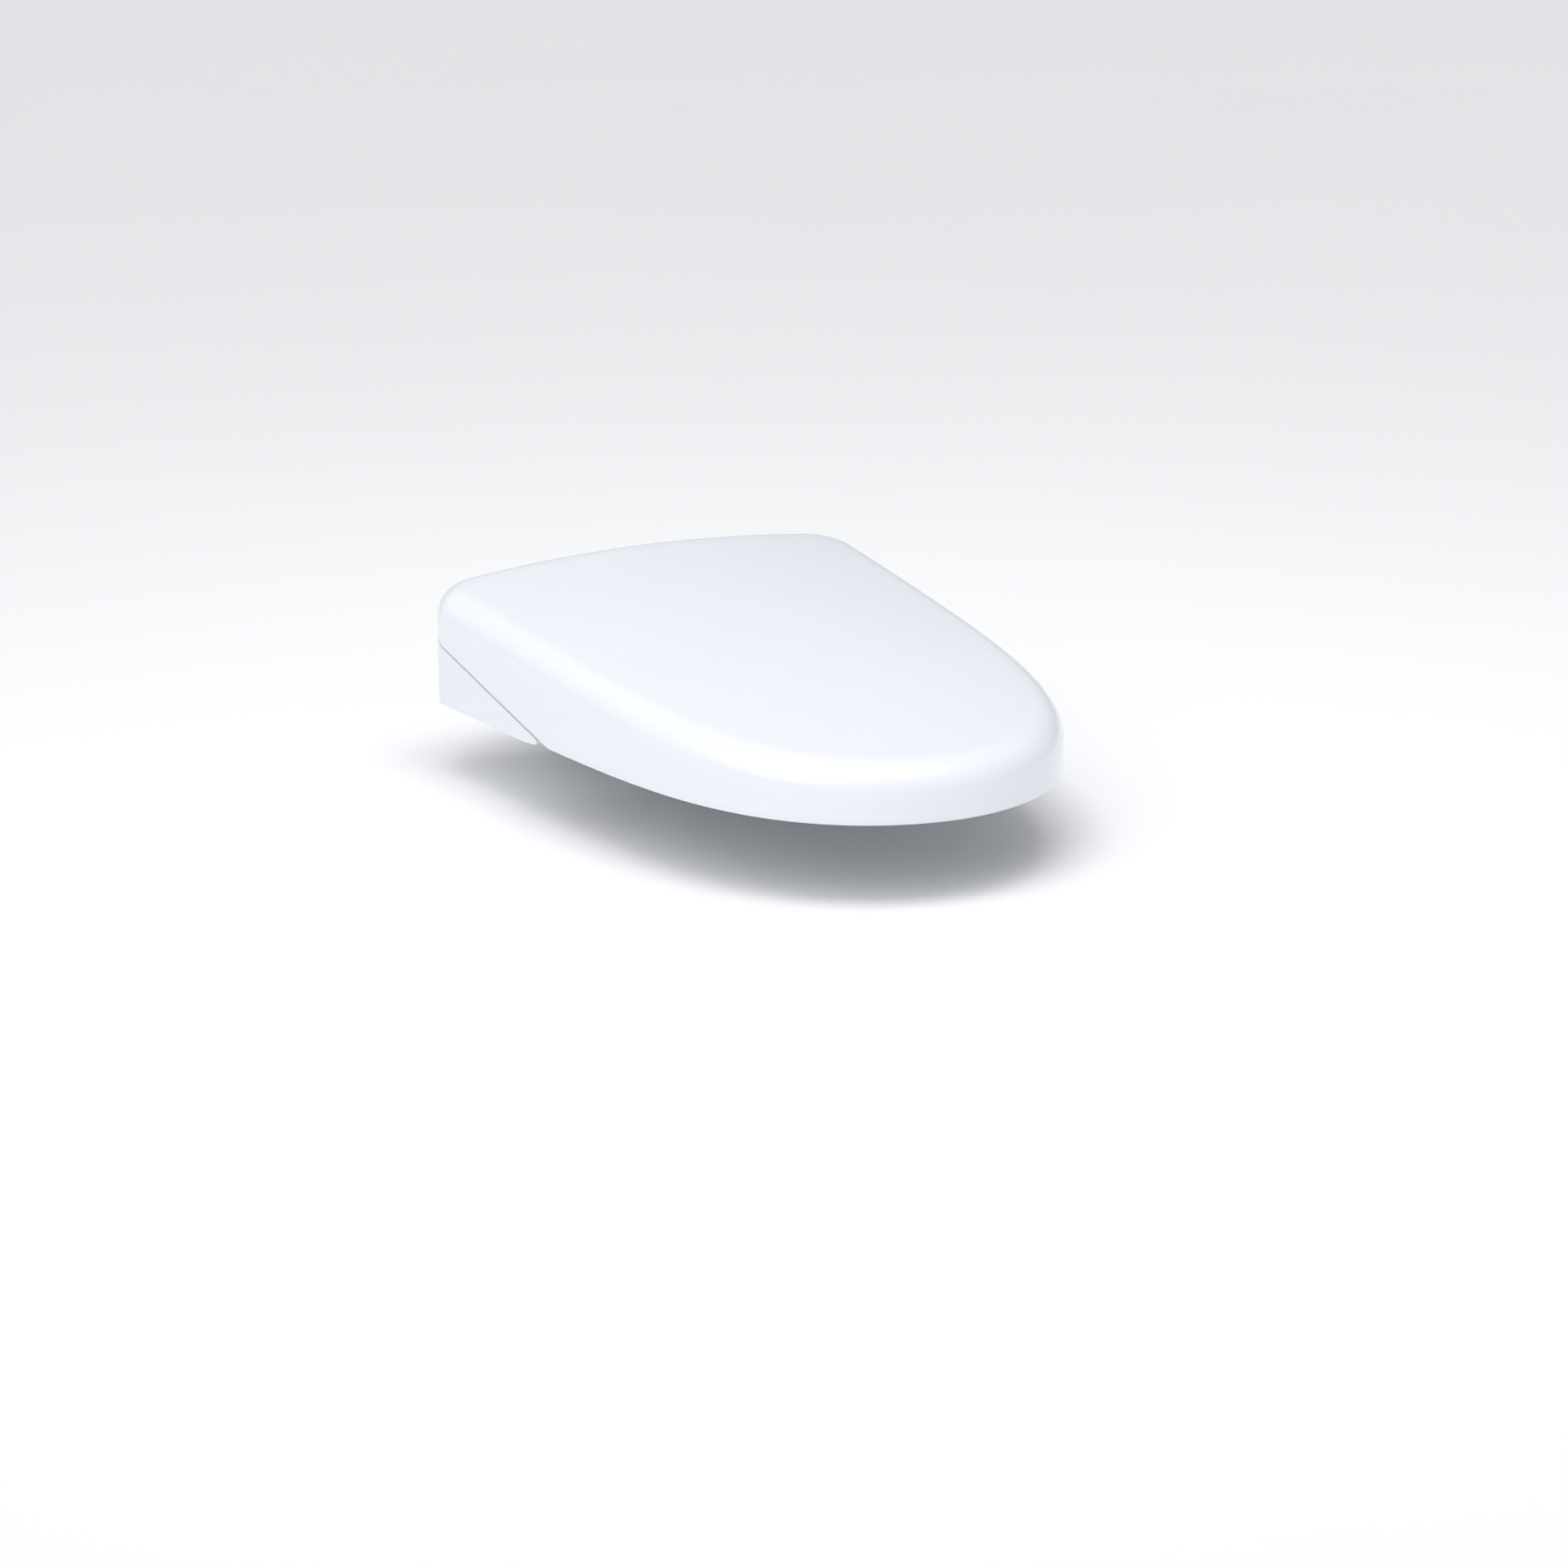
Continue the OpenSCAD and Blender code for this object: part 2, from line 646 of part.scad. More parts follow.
module inlet_valve() {
    color(dark_grey) {
        round_block([valve_x0, -14, floor_top + 0.2], [valve_x1, 18, floor_top + 26], 3);
        rod_z(floor_top + 26, floor_top + 44, valve_x0 + 14, 2, 10);
    }
}

tank_x0 = -cheek_x + 14;
tank_x1 = -50;
tank_z = channel_h + channel_wall + 5;

module heater_tank() {
    color(light_grey) {
        round_block([tank_x0, -12, tank_z], [tank_x1, 22, 72], 6);
        rod_z(floor_top + 0.1, tank_z + 0.01, tank_x0 + 12, 4, 5);
        rod_z(channel_h + channel_wall + 0.1, tank_z + 0.01, tank_x1 - 16, 4, 5);
    }
}

module tank_hose() {
    color(mid_grey) rod_x(tank_x1 + 0.1, valve_x0 - 0.1, 10, floor_top + 20, hose_r);
}

module air_pump() {
    color(dark_grey) {
        round_block([valve_x0 - 58, -8, floor_top + 26], [valve_x0 - 8, 20, floor_top + 56], 5);
        rod_x(valve_x0 - 68, valve_x0 - 57.9, 6, floor_top + 42, 8);
    }
}

module nozzle_frame() {
    translate([0, nozzle_y, nozzle_z]) rotate([nozzle_tilt, 0, 0]) children();
}

module nozzle_collar(s0, s1) {
    difference() {
        rod_y(s0, s1, 0, 0, wand_r + 3);
        rod_y(s0 - 1, s1 + 1, 0, 0, wand_r + run_fit);
        block([-3.2, s0 - 1, wand_r - 3], [3.2, s1 + 1, wand_r + 9]);
    }
}

module nozzle_guide() {
    color(light_grey) nozzle_frame() {
        nozzle_collar(wand_front + 4, 15);
        nozzle_collar(52, 64);
        difference() {
            block([-4, wand_front + 4, -wand_r - 5], [4, 64, -wand_r - 1]);
            rod_y(0, 70, 0, 0, wand_r + 1);
        }
    }
}

module nozzle_wand() {
    color(white) nozzle_frame() difference() {
        rod_y(wand_front + 16, wand_front + wand_len, 0, 0, wand_r);
        block([-2.6, wand_front + 15, wand_r - 1], [2.6, wand_len + 4, wand_r + 1]);
    }
}

module nozzle_tip() {
    color(white) nozzle_frame() difference() {
        union() {
            rod_y(wand_front + 2, wand_front + 16, 0, 0, wand_r);
            rod_y(wand_front, wand_front + 2.01, 0, 0, wand_r - 1.2);
        }
        rod_z(wand_r - 3, wand_r + 1, 0, wand_front + 8, 1.1);
        for (x = [-2.6, 2.6]) rod_z(wand_r - 3, wand_r + 1, x, wand_front + 11.5, 0.7);
    }
}

module nozzle_rack() {
    s0 = pinion_s - 4.5 * rack_pitch;
    count = floor((wand_front + wand_len - 1 - s0) / rack_pitch);
    color(mid_grey) nozzle_frame() along_x(-2.5, 2.5) union() {
        translate([wand_front + 17, wand_r - 1]) square([wand_len - 17, rack_base - wand_r + 1.01]);
        for (i = [3:count]) translate([s0 + i * rack_pitch, rack_base])
            polygon([[-0.95, 0], [0.95, 0], [0.4, 1.9], [-0.4, 1.9]]);
    }
}

module nozzle_pinion() {
    root_r = pitch_r - 1.2;
    tip_r = pitch_r + 0.7;
    step = 360 / pinion_teeth;
    color(mid_grey) nozzle_frame() translate([0, pinion_s, pinion_h]) {
        along_x(-2.4, 2.4) for (i = [0:pinion_teeth - 1]) rotate(-90 + i * step)
            polygon([[0, 0], [root_r * cos(step / 2), -root_r * sin(step / 2)], [root_r, -0.95],
                [tip_r, -0.4], [tip_r, 0.4], [root_r, 0.95],
                [root_r * cos(step / 2), root_r * sin(step / 2)]]);
        rod_x(-3.6, 14, 0, 0, 1.5);
    }
}

module nozzle_motor() {
    color(mid_grey) nozzle_frame() difference() {
        union() {
            rod_x(8.5, 26, pinion_s, pinion_h, 9);
            rod_x(26, 28, pinion_s, pinion_h, 4);
        }
        rod_x(8, 14.5, pinion_s, pinion_h, 1.5 + run_fit);
    }
}

dryer_z = floor_top + 0.6;
dryer_h = 30;

module dryer_housing() {
    color(dark_grey) difference() {
        translate([dryer_c[0], dryer_c[1], dryer_z]) cylinder(r = 31, h = dryer_h);
        translate([dryer_c[0], dryer_c[1], dryer_z + 2]) cylinder(r = 28.5, h = dryer_h - 4);
        rod_z(dryer_z + dryer_h - 3, dryer_z + dryer_h + 1, dryer_c[0], dryer_c[1], 14);
        block([dryer_c[0] - 17, dryer_c[1] - 40, dryer_z + 10],
            [dryer_c[0] + 17, dryer_c[1] - 10, dryer_z + dryer_h - 4]);
        rod_z(dryer_z - 1, dryer_z + 3, dryer_c[0], dryer_c[1], 2 + run_fit);
    }
}

module fan(c, z0, h, r, blades) {
    translate([c[0], c[1], z0]) {
        cylinder(r = 2, h = h + 3);
        translate([0, 0, 3]) cylinder(r = r, h = 1.5);
        translate([0, 0, 3]) cylinder(r = 8, h = h - 3);
        for (i = [0:blades - 1]) rotate(i * 360 / blades) translate([r - 9, -0.6, 4]) cube([8, 1.2, h - 4]);
    }
}

module dryer_rotor() {
    color(mid_grey) fan(dryer_c, dryer_z + 0.2, dryer_h - 6, 25, 18);
}

module dryer_duct() {
    y1 = dryer_c[1] - 26;
    color(dark_grey) difference() {
        block([dryer_c[0] - 19, housing_y + cover_wall + 0.3, dryer_z + 12],
            [dryer_c[0] + 19, y1 + 2, dryer_z + 33.5]);
        block([dryer_c[0] - 17, housing_y, dryer_z + 14], [dryer_c[0] + 17, y1 + 3, dryer_z + 31.5]);
        translate([dryer_c[0], dryer_c[1], dryer_z - 1]) cylinder(r = 31.3, h = 40);
    }
}

flap_z = dryer_port[3] - 1.6;

module dryer_flap() {
    color(white) {
        block([dryer_port[0] + 0.6, housing_y, dryer_port[2] + 0.6],
            [dryer_port[1] - 0.6, housing_y + 1.8, flap_z]);
        rod_x(dryer_port[0] + 0.6, dryer_port[1] - 0.6, housing_y + 1, flap_z, 1);
    }
}

deodor_c = [cheek_x - 62, channel_front - channel_wall - 27.5];
deodor_z = floor_top + 0.6;

module deodor_housing() {
    color(dark_grey) difference() {
        union() {
            translate([deodor_c[0], deodor_c[1], deodor_z]) cylinder(r = 26, h = 24);
            block([deodor_c[0], filter_y0, deodor_z], [filter_x0 - 1, filter_y1, deodor_z + 17]);
        }
        translate([deodor_c[0], deodor_c[1], deodor_z + 2]) cylinder(r = 23.5, h = 20);
        block([deodor_c[0], filter_y0 + 2, deodor_z + 2], [filter_x0, filter_y1 - 2, deodor_z + 15]);
        rod_z(deodor_z - 1, deodor_z + 3, deodor_c[0], deodor_c[1], 2 + run_fit);
    }
}

module deodor_rotor() {
    color(mid_grey) fan(deodor_c, deodor_z + 0.2, 16, 20, 14);
}

module deodor_filter() {
    color(dark_grey) difference() {
        block([filter_x0, filter_y0, filter_z0], [filter_face, filter_y1, filter_z1]);
        block([filter_x0 - 1, filter_y0 + 2, filter_z0 + 2], [cheek_x - 10, filter_y1 - 2, filter_z1 - 2]);
        for (y = [filter_y0 + 6:6:filter_y1 - 6])
            block([filter_x0 + 4, y - 1.5, filter_z0 - 1], [cheek_x - 12, y + 1.5, filter_z1 + 1]);
    }
}

module board(x0, x1, y0, y1, z) {
    color(green) round_block([x0, y0, z], [x1, y1, z + 1.6], 2);
}

board_x = cheek_x - 12;
power_z = 48;
control_z = 46;

module power_board() {
    top = power_z + 1.59;
    board(-board_x, -34, -98, -20, power_z);
    color(dark_grey) {
        block([-board_x + 4, -90, top], [-board_x + 30, -62, power_z + 14]);
        for (x = [40, 58]) rod_z(top, power_z + 16, -board_x + x, -70, 7);
        block([-board_x + 34, -44, top], [-board_x + 60, -28, power_z + 8]);
    }
}

module control_board() {
    top = control_z + 1.59;
    board(36, board_x, -98, -26, control_z);
    color(dark_grey) {
        block([48, -72, top], [66, -54, control_z + 4]);
        for (y = [-92, -84, -40]) block([board_x - 26, y, top], [board_x - 4, y + 5, control_z + 9]);
    }
}

gland_x = -cheek_x + 24;
gland_z = 20;
gland_r = 7;

module cord_gland() {
    color(light_grey) difference() {
        union() {
            rod_y(back_y - 6, back_y + 9, gland_x, gland_z, gland_r - 0.1);
            rod_y(back_y - 7, back_y - lid_wall - 0.2, gland_x, gland_z, gland_r + 2);
        }
        rod_y(back_y - 8, back_y + 10, gland_x, gland_z, 3.4);
    }
}

window_x0 = cheek_x - 46;
window_x1 = window_x0 + 26;
window_z0 = 50;
window_z1 = window_z0 + 12;
sensor_x = window_x0 - 34;
light_x = -40;
led_y = -70;
led_places = [for (i = [0:2]) window_x0 + 4 + 8 * i];

module receiver_window() {
    color(dark_grey) block([window_x0 + 0.1, housing_y, window_z0 + 0.1],
        [window_x1 - 0.1, housing_y + cover_wall, window_z1 - 0.1]);
}

module user_sensor() {
    color(dark_grey) {
        rod_y(housing_y, housing_y + cover_wall + 1, sensor_x, window_z0 + 5, 4.9);
        rod_y(housing_y + cover_wall + 0.99, housing_y + 8, sensor_x, window_z0 + 5, 3.5);
    }
}

module night_light() {
    color(light_grey) {
        rod_y(housing_y, housing_y + cover_wall + 1, light_x, window_z0 + 5, 4.9);
        rod_y(housing_y + cover_wall + 0.99, housing_y + 6, light_x, window_z0 + 5, 3);
    }
}

function roof_at(y) = roof_front
    + (roof_rear - roof_front) * (y - housing_y - brow_r) / (barrel_y - roof_r - housing_y - brow_r);

module status_lights() {
    color("lime") for (x = led_places) rod_z(roof_at(led_y) - 8, roof_at(led_y) - 0.4, x, led_y, 1.5);
}

module release_button() {
    color(light_grey) {
        block([panel_x + 16, button_y - 7, button_z - 4], [half_w - 2.2, button_y + 7, button_z + 4]);
        block([panel_x + 8, button_y - 3, button_z - 3], [panel_x + 16.01, button_y + 3, button_z + 3]);
    }
}

module power_key() {
    color(light_grey) {
        rod_x(half_w - 8, half_w - 0.8, key_y, key_z, 5);
        rod_x(half_w - 16, half_w - 7.99, key_y, key_z, 3);
    }
}

module mounting_plate() {
    color(light_grey) difference() {
        union() {
            round_block([-plate_x, -plate_len / 2, floor_z + 1 + dock_fit],
                [plate_x, plate_len / 2, gasket_t + plate_t], 3);
            round_block([-plate_x + lip_in + dock_fit, -plate_len / 2, gasket_t],
                [plate_x - lip_in - dock_fit, plate_len / 2, floor_z + 1 + dock_fit + 0.01], 3);
        }
        for (x = [-1, 1]) rod_z(-1, 20, x * bolt_span / 2, 0, bolt_r + 0.6);
    }
}

module plate_gasket() {
    color(dark_grey) difference() {
        round_block([-plate_x + 12, -plate_len / 2 + 4, 0], [plate_x - 12, plate_len / 2 - 4, gasket_t], 6);
        for (x = [-1, 1]) rod_z(-1, 2, x * bolt_span / 2, 0, bolt_r + 1.4);
    }
}

washer_z = gasket_t + plate_t;

module bolt_washers() {
    color(steel) for (x = [-1, 1]) difference() {
        rod_z(washer_z, washer_z + 1.5, x * bolt_span / 2, 0, 10);
        rod_z(washer_z - 1, washer_z + 3, x * bolt_span / 2, 0, bolt_r + 0.6);
    }
}

module mounting_bolts() {
    color(steel) for (x = [-1, 1]) {
        rod_z(-bolt_drop, 0, x * bolt_span / 2, 0, bolt_r);
        rod_z(-0.01, washer_z + 1.51, x * bolt_span / 2, 0, bolt_r + 0.3);
        rod_z(washer_z + 1.5, washer_z + 5, x * bolt_span / 2, 0, bolt_r + 3.5);
    }
}

lid_shell();
lid_ear_left();
lid_ear_right();
lid_bumpers();
seat_top();
seat_bottom();
seat_heater();
seat_bumpers();
seat_arm_left();
seat_arm_right();
base_pan();
housing_cover();
side_panel_left();
side_panel_right();
hinge_pin_left();
hinge_pin_right();
seat_damper();
lid_damper();
base_pads();
case_screws();
water_inlet();
inlet_hose();
inlet_valve();
heater_tank();
tank_hose();
air_pump();
nozzle_guide();
nozzle_motor();
nozzle_wand();
nozzle_tip();
nozzle_rack();
nozzle_pinion();
dryer_housing();
dryer_rotor();
dryer_duct();
dryer_flap();
deodor_housing();
deodor_rotor();
deodor_filter();
power_board();
control_board();
cord_gland();
receiver_window();
status_lights();
night_light();
user_sensor();
release_button();
power_key();
mounting_plate();
plate_gasket();
bolt_washers();
mounting_bolts();
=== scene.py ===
import math

import bmesh
import bpy
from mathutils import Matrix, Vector


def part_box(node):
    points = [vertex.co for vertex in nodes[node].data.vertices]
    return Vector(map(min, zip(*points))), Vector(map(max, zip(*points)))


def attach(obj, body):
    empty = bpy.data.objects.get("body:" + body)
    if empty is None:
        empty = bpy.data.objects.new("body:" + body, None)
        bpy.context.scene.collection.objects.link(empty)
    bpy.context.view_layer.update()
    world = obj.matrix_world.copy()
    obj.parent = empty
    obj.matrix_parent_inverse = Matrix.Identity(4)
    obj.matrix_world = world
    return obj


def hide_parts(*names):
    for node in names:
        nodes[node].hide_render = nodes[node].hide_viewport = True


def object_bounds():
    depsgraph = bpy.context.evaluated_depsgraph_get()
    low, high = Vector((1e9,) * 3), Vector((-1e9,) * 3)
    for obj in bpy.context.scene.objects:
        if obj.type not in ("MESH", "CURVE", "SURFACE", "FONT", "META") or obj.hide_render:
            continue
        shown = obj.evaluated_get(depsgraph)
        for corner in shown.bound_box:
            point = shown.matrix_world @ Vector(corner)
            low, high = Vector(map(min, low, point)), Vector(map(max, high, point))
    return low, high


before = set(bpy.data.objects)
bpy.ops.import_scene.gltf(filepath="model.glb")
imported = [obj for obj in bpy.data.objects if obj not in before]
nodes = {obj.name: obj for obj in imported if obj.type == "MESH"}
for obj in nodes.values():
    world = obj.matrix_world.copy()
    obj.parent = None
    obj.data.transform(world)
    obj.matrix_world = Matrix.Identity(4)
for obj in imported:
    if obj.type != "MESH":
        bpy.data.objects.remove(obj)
cad_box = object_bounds()
scene = bpy.context.scene

# ---------------------------------------------------------------- finishes


class Value:
    """A node socket that takes part in sums and products."""

    def __init__(self, tree, socket):
        self.tree, self.socket = tree, socket

    def _sum(self, kind, first, second):
        node = self.tree.nodes.new("ShaderNodeMath")
        node.operation = kind
        for place, value in zip(node.inputs, (first, second)):
            feed(self.tree, place, value)
        return Value(self.tree, node.outputs[0])

    def __add__(self, other):
        return self._sum("ADD", self, other)

    def __radd__(self, other):
        return self._sum("ADD", other, self)

    def __sub__(self, other):
        return self._sum("SUBTRACT", self, other)

    def __rsub__(self, other):
        return self._sum("SUBTRACT", other, self)

    def __mul__(self, other):
        return self._sum("MULTIPLY", self, other)

    def __rmul__(self, other):
        return self._sum("MULTIPLY", other, self)


def feed(tree, socket, value):
    """Links a Value to a socket, or sets a plain number or colour on it."""
    if isinstance(value, Value):
        tree.links.new(value.socket, socket)
    elif isinstance(value, (tuple, list)) and len(value) == 3 and socket.type == "RGBA":
        socket.default_value = (*value, 1)
    else:
        socket.default_value = value


class Finish:
    """One surface finish under construction, with its Principled shader."""

    def __init__(self, name, **constants):
        self.material = bpy.data.materials.new(name)
        self.material.use_nodes = True
        self.tree = self.material.node_tree
        self.shader = self.tree.nodes["Principled BSDF"]
        self.spot = self.make("TexCoord", out="Object")
        self.set(**constants)

    def make(self, kind, settings=None, out=0, **sockets):
        """Adds a node, gives it its settings, then its socket values or links."""
        node = self.tree.nodes.new("ShaderNode" + kind)
        for key, value in (settings or {}).items():
            if key == "stops":
                while len(node.color_ramp.elements) < len(value):
                    node.color_ramp.elements.new(1.0)
                for stop, (place, shade) in zip(node.color_ramp.elements, value):
                    stop.position, stop.color = place, (*shade, 1)
            else:
                setattr(node, key, value)
        for key, value in sockets.items():
            name = key.replace("_", " ").strip()
            if name in node.inputs:
                feed(self.tree, node.inputs[name], value)
            else:
                feed(self.tree, node.inputs[int(name)], value)
        return Value(self.tree, node.outputs[out])

    def set(self, **sockets):
        """Shader sockets by name, with _ for a space."""
        for key, value in sockets.items():
            feed(self.tree, self.shader.inputs[key.replace("_", " ")], value)

    def noise(self, scale, detail=2.0, rough=0.5, stretch=None):
        """Cloudy noise between 0 and 1, scale in waves a metre."""
        where = self.spot
        if stretch:
            where = self.make("Mapping", Vector=self.spot, Scale=stretch)
        return self.make("TexNoise", Vector=where, Scale=scale, Detail=detail, Roughness=rough)

    def mix(self, share, first, second):
        """A colour between two, by a share."""
        node = self.tree.nodes.new("ShaderNodeMix")
        node.data_type = "RGBA"
        for name, value in (("Factor_Float", share), ("A_Color", first), ("B_Color", second)):
            feed(self.tree, next(s for s in node.inputs if s.identifier == name), value)
        return Value(self.tree, next(s for s in node.outputs if s.identifier == "Result_Color"))

    def bump(self, height, depth):
        """Raises the surface by a height between 0 and 1 times a depth in metres."""
        self.set(Normal=self.make("Bump", Height=height, Distance=depth, Strength=1.0))


def tint(colour, share):
    """A colour made darker, or lighter with a share above 1."""
    return tuple(min(1.0, c * share) for c in colour)


def moulded(name, colour, rough, peel, peel_depth, cloud=0.02, gloss=0.0, spread=0.05):
    """Moulded plastic: orange peel or grain, faint clouds of tone, and uneven polish."""
    made = Finish(name, IOR=1.49, Coat_Roughness=0.08)
    clouds = made.noise(9.0, detail=3.0)
    smudges = made.noise(38.0, detail=4.0, rough=0.6)
    made.set(
        Base_Color=made.mix(clouds, tint(colour, 1 - cloud), tint(colour, 1 + cloud)),
        Roughness=rough - spread / 2 + spread * smudges,
        Coat_Weight=gloss * (0.75 + 0.5 * smudges) if gloss else 0.0,
    )
    skin = made.noise(peel, detail=2.0, rough=0.45) + 0.35 * made.noise(peel * 4.3, detail=1.0)
    made.bump(skin, peel_depth)
    return made.material


def elastomer(name, colour, rough, grain):
    """Rubber or soft pad: matt, finely pitted, greyer where it has been handled."""
    made = Finish(name, IOR=1.45, Specular_IOR_Level=0.35)
    dust = made.noise(60.0, detail=5.0, rough=0.65)
    made.set(
        Base_Color=made.mix(dust, tint(colour, 0.88), tint(colour, 1.14)),
        Roughness=rough - 0.06 + 0.12 * dust,
    )
    pits = made.make("TexVoronoi", {"feature": "F1"}, Vector=made.spot, Scale=grain)
    made.bump(pits, 0.00006)
    return made.material


def brushed(name, colour, rough, along, cast=0.0):
    """Metal with fine lines along one axis, or the soft dimples of a plated casting."""
    made = Finish(name, Metallic=1.0)
    lines = made.noise(240.0, detail=4.0, rough=0.7, stretch=along)
    stains = made.noise(45.0, detail=3.0)
    made.set(
        Base_Color=made.mix(stains, tint(colour, 0.9), tint(colour, 1.06)),
        Roughness=rough - 0.08 + 0.16 * lines,
    )
    height = lines if not cast else lines * 0.3 + cast * made.noise(700.0, detail=2.0)
    made.bump(height, 0.00002)
    return made.material


WHITE = (0.83, 0.855, 0.905)
lid_gloss = moulded("lid_gloss_white", WHITE, 0.17, 160.0, 0.0000045, cloud=0.012, gloss=0.55)
seat_gloss = moulded("seat_gloss_white", tint(WHITE, 0.99), 0.2, 210.0, 0.000005, cloud=0.012, gloss=0.4)
case_gloss = moulded("case_white", tint(WHITE, 0.985), 0.25, 300.0, 0.000006, cloud=0.015, gloss=0.25)
case_satin = moulded("case_satin_white", tint(WHITE, 0.96), 0.42, 1900.0, 0.00002, cloud=0.02)
nozzle_white = moulded("nozzle_white", (0.86, 0.87, 0.88), 0.22, 500.0, 0.000004, cloud=0.02, gloss=0.3)
grey_satin = moulded("satin_grey", (0.56, 0.58, 0.61), 0.46, 2100.0, 0.00003, cloud=0.05)
gear_grey = moulded("gear_grey", (0.5, 0.51, 0.52), 0.38, 1500.0, 0.00001, cloud=0.06)
dark_case = moulded("dark_case", (0.028, 0.029, 0.032), 0.5, 2400.0, 0.00004, cloud=0.15, spread=0.1)
smoked = moulded("smoked_window", (0.008, 0.008, 0.011), 0.08, 120.0, 0.000001, cloud=0.2, gloss=1.0)
soft_pad = elastomer("pale_pad", (0.6, 0.61, 0.63), 0.6, 2600.0)
rubber = elastomer("black_rubber", (0.021, 0.021, 0.023), 0.72, 1900.0)
steel = brushed("brushed_steel", (0.6, 0.6, 0.61), 0.3, (0.12, 1.0, 1.0))
bolt_steel = brushed("bolt_steel", (0.58, 0.58, 0.57), 0.32, (1.0, 1.0, 0.15))
zinc = brushed("plated_zinc", (0.5, 0.51, 0.53), 0.42, (1.0, 1.0, 1.0), cast=0.8)


def milky_lens():
    """Lens with fine rings moulded in, lit very faintly from behind."""
    made = Finish("milky_lens", IOR=1.5, Transmission_Weight=0.25, Emission_Strength=0.15)
    haze = made.noise(400.0, detail=3.0)
    made.set(
        Base_Color=made.mix(haze, (0.74, 0.8, 0.77), (0.86, 0.9, 0.88)),
        Roughness=0.22 + 0.14 * haze,
        Emission_Color=made.mix(haze, (0.5, 0.8, 0.62), (0.62, 0.88, 0.72)),
    )
    made.bump(made.make("TexVoronoi", Vector=made.spot, Scale=1400.0), 0.00003)
    return made.material


def solder_mask():
    """Circuit board: green mask over copper runs, with tinned points."""
    made = Finish("circuit_board", IOR=1.5)
    runs = made.make(
        "TexBrick", {"offset": 0.5, "squash": 0.6}, out="Fac", Vector=made.spot,
        Scale=420.0, Mortar_Size=0.045, Brick_Width=1.4, Row_Height=0.5)
    points = made.make("TexVoronoi", {"feature": "F1"}, Vector=made.spot, Scale=260.0)
    tinned = (0.16 - points) * 40.0
    tinned = made.make("Clamp", Value=tinned)
    board = made.mix(runs, (0.008, 0.075, 0.03), (0.02, 0.15, 0.06))
    made.set(
        Base_Color=made.mix(tinned, board, (0.62, 0.62, 0.6)),
        Metallic=tinned,
        Roughness=0.4 - 0.1 * tinned + 0.12 * made.noise(90.0),
    )
    made.bump(runs + tinned * 0.8, 0.00003)
    return made.material


def heater_foil():
    """Foil with a heating wire laid in close loops."""
    made = Finish("heater_foil", Metallic=0.0)
    loops = made.make(
        "TexWave", {"wave_type": "BANDS", "bands_direction": "Y"}, out="Fac",
        Vector=made.spot, Scale=38.0, Distortion=2.5, Detail=1.0)
    wire = made.make("Clamp", Value=(loops - 0.86) * 12.0)
    creases = made.noise(120.0, detail=6.0, rough=0.7)
    made.set(
        Base_Color=made.mix(wire, (0.7, 0.7, 0.71), (0.55, 0.3, 0.17)),
        Metallic=1.0 - 0.7 * wire,
        Roughness=0.24 + 0.25 * creases,
    )
    made.bump(creases * 0.4 + wire, 0.00012)
    return made.material


def carbon_filter():
    """Filter drawer: dark case with the honeycomb of its charcoal block."""
    made = Finish("carbon_filter", IOR=1.46)
    cells = made.make(
        "TexVoronoi", {"feature": "DISTANCE_TO_EDGE"}, Vector=made.spot, Scale=520.0, Randomness=0.25)
    wall = made.make("Clamp", Value=(0.09 - cells) * 22.0)
    made.set(
        Base_Color=made.mix(wall, (0.006, 0.006, 0.007), (0.035, 0.036, 0.04)),
        Roughness=0.82 - 0.3 * wall,
    )
    made.bump(wall, 0.0002)
    return made.material


lens = milky_lens()
board_green = solder_mask()
foil = heater_foil()
charcoal = carbon_filter()

# ------------------------------------------------- outline shared by lid and seat, in metres

lid_low, lid_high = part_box("lid_shell")
seat_low_box, seat_high_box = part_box("seat_top")
BULGE = 0.003
HALF_W, FRONT_Y, BACK_Y = lid_high.x, lid_low.y, lid_high.y - BULGE
LENGTH = BACK_Y - FRONT_Y
MID_Y = (BACK_Y + FRONT_Y) / 2
CORNER_R = 0.0405
CORNER_Y = BACK_Y - CORNER_R
FLAT_X = HALF_W - CORNER_R
RUN = LENGTH - CORNER_R
# How fast the sides draw in, and how blunt the front is
NOSE_TAPER, SIDE_POWER, TIP_POWER = 0.155, 5.5, 1.91
# Height of the lid at the back and the front, its fall to the sides and its swell along the middle
REAR_H, FRONT_H, ARCH, CROWN = 0.106, 0.0448, 0.012, 0.003
SHOULDER, WALL = 0.021, 0.0035
# The skirt's lower edge: flat at the front, then up along the seam over the side panels
SKIRT_Z, SEAM_BACK, SEAM_SLOPE, SEAM_GAP = 0.004, 0.0602, 0.28, 0.0008
SEAT_GAP = 0.006
# Points of a mesh nearer than this are one point
MERGE = 0.000002


def half_width(u):
    """Half the lid's width, from 0 at the rear corners to 1 at the front tip."""
    return HALF_W * (1 - NOSE_TAPER * u) * max(0.0, 1 - u ** SIDE_POWER) ** (1 / TIP_POWER)


def lid_top(x, y):
    """Height of the lid's top."""
    along = (y - FRONT_Y) / LENGTH
    return (FRONT_H + (REAR_H - FRONT_H) * along - ARCH * (x / HALF_W) ** 2
            + CROWN * math.sin(math.pi * max(0.0, min(1.0, along))))


def lid_edge(y):
    """Height of the skirt's lower edge."""
    return max(SKIRT_Z, SEAM_BACK + SEAM_SLOPE * (y - BACK_Y)) + SEAM_GAP / 2


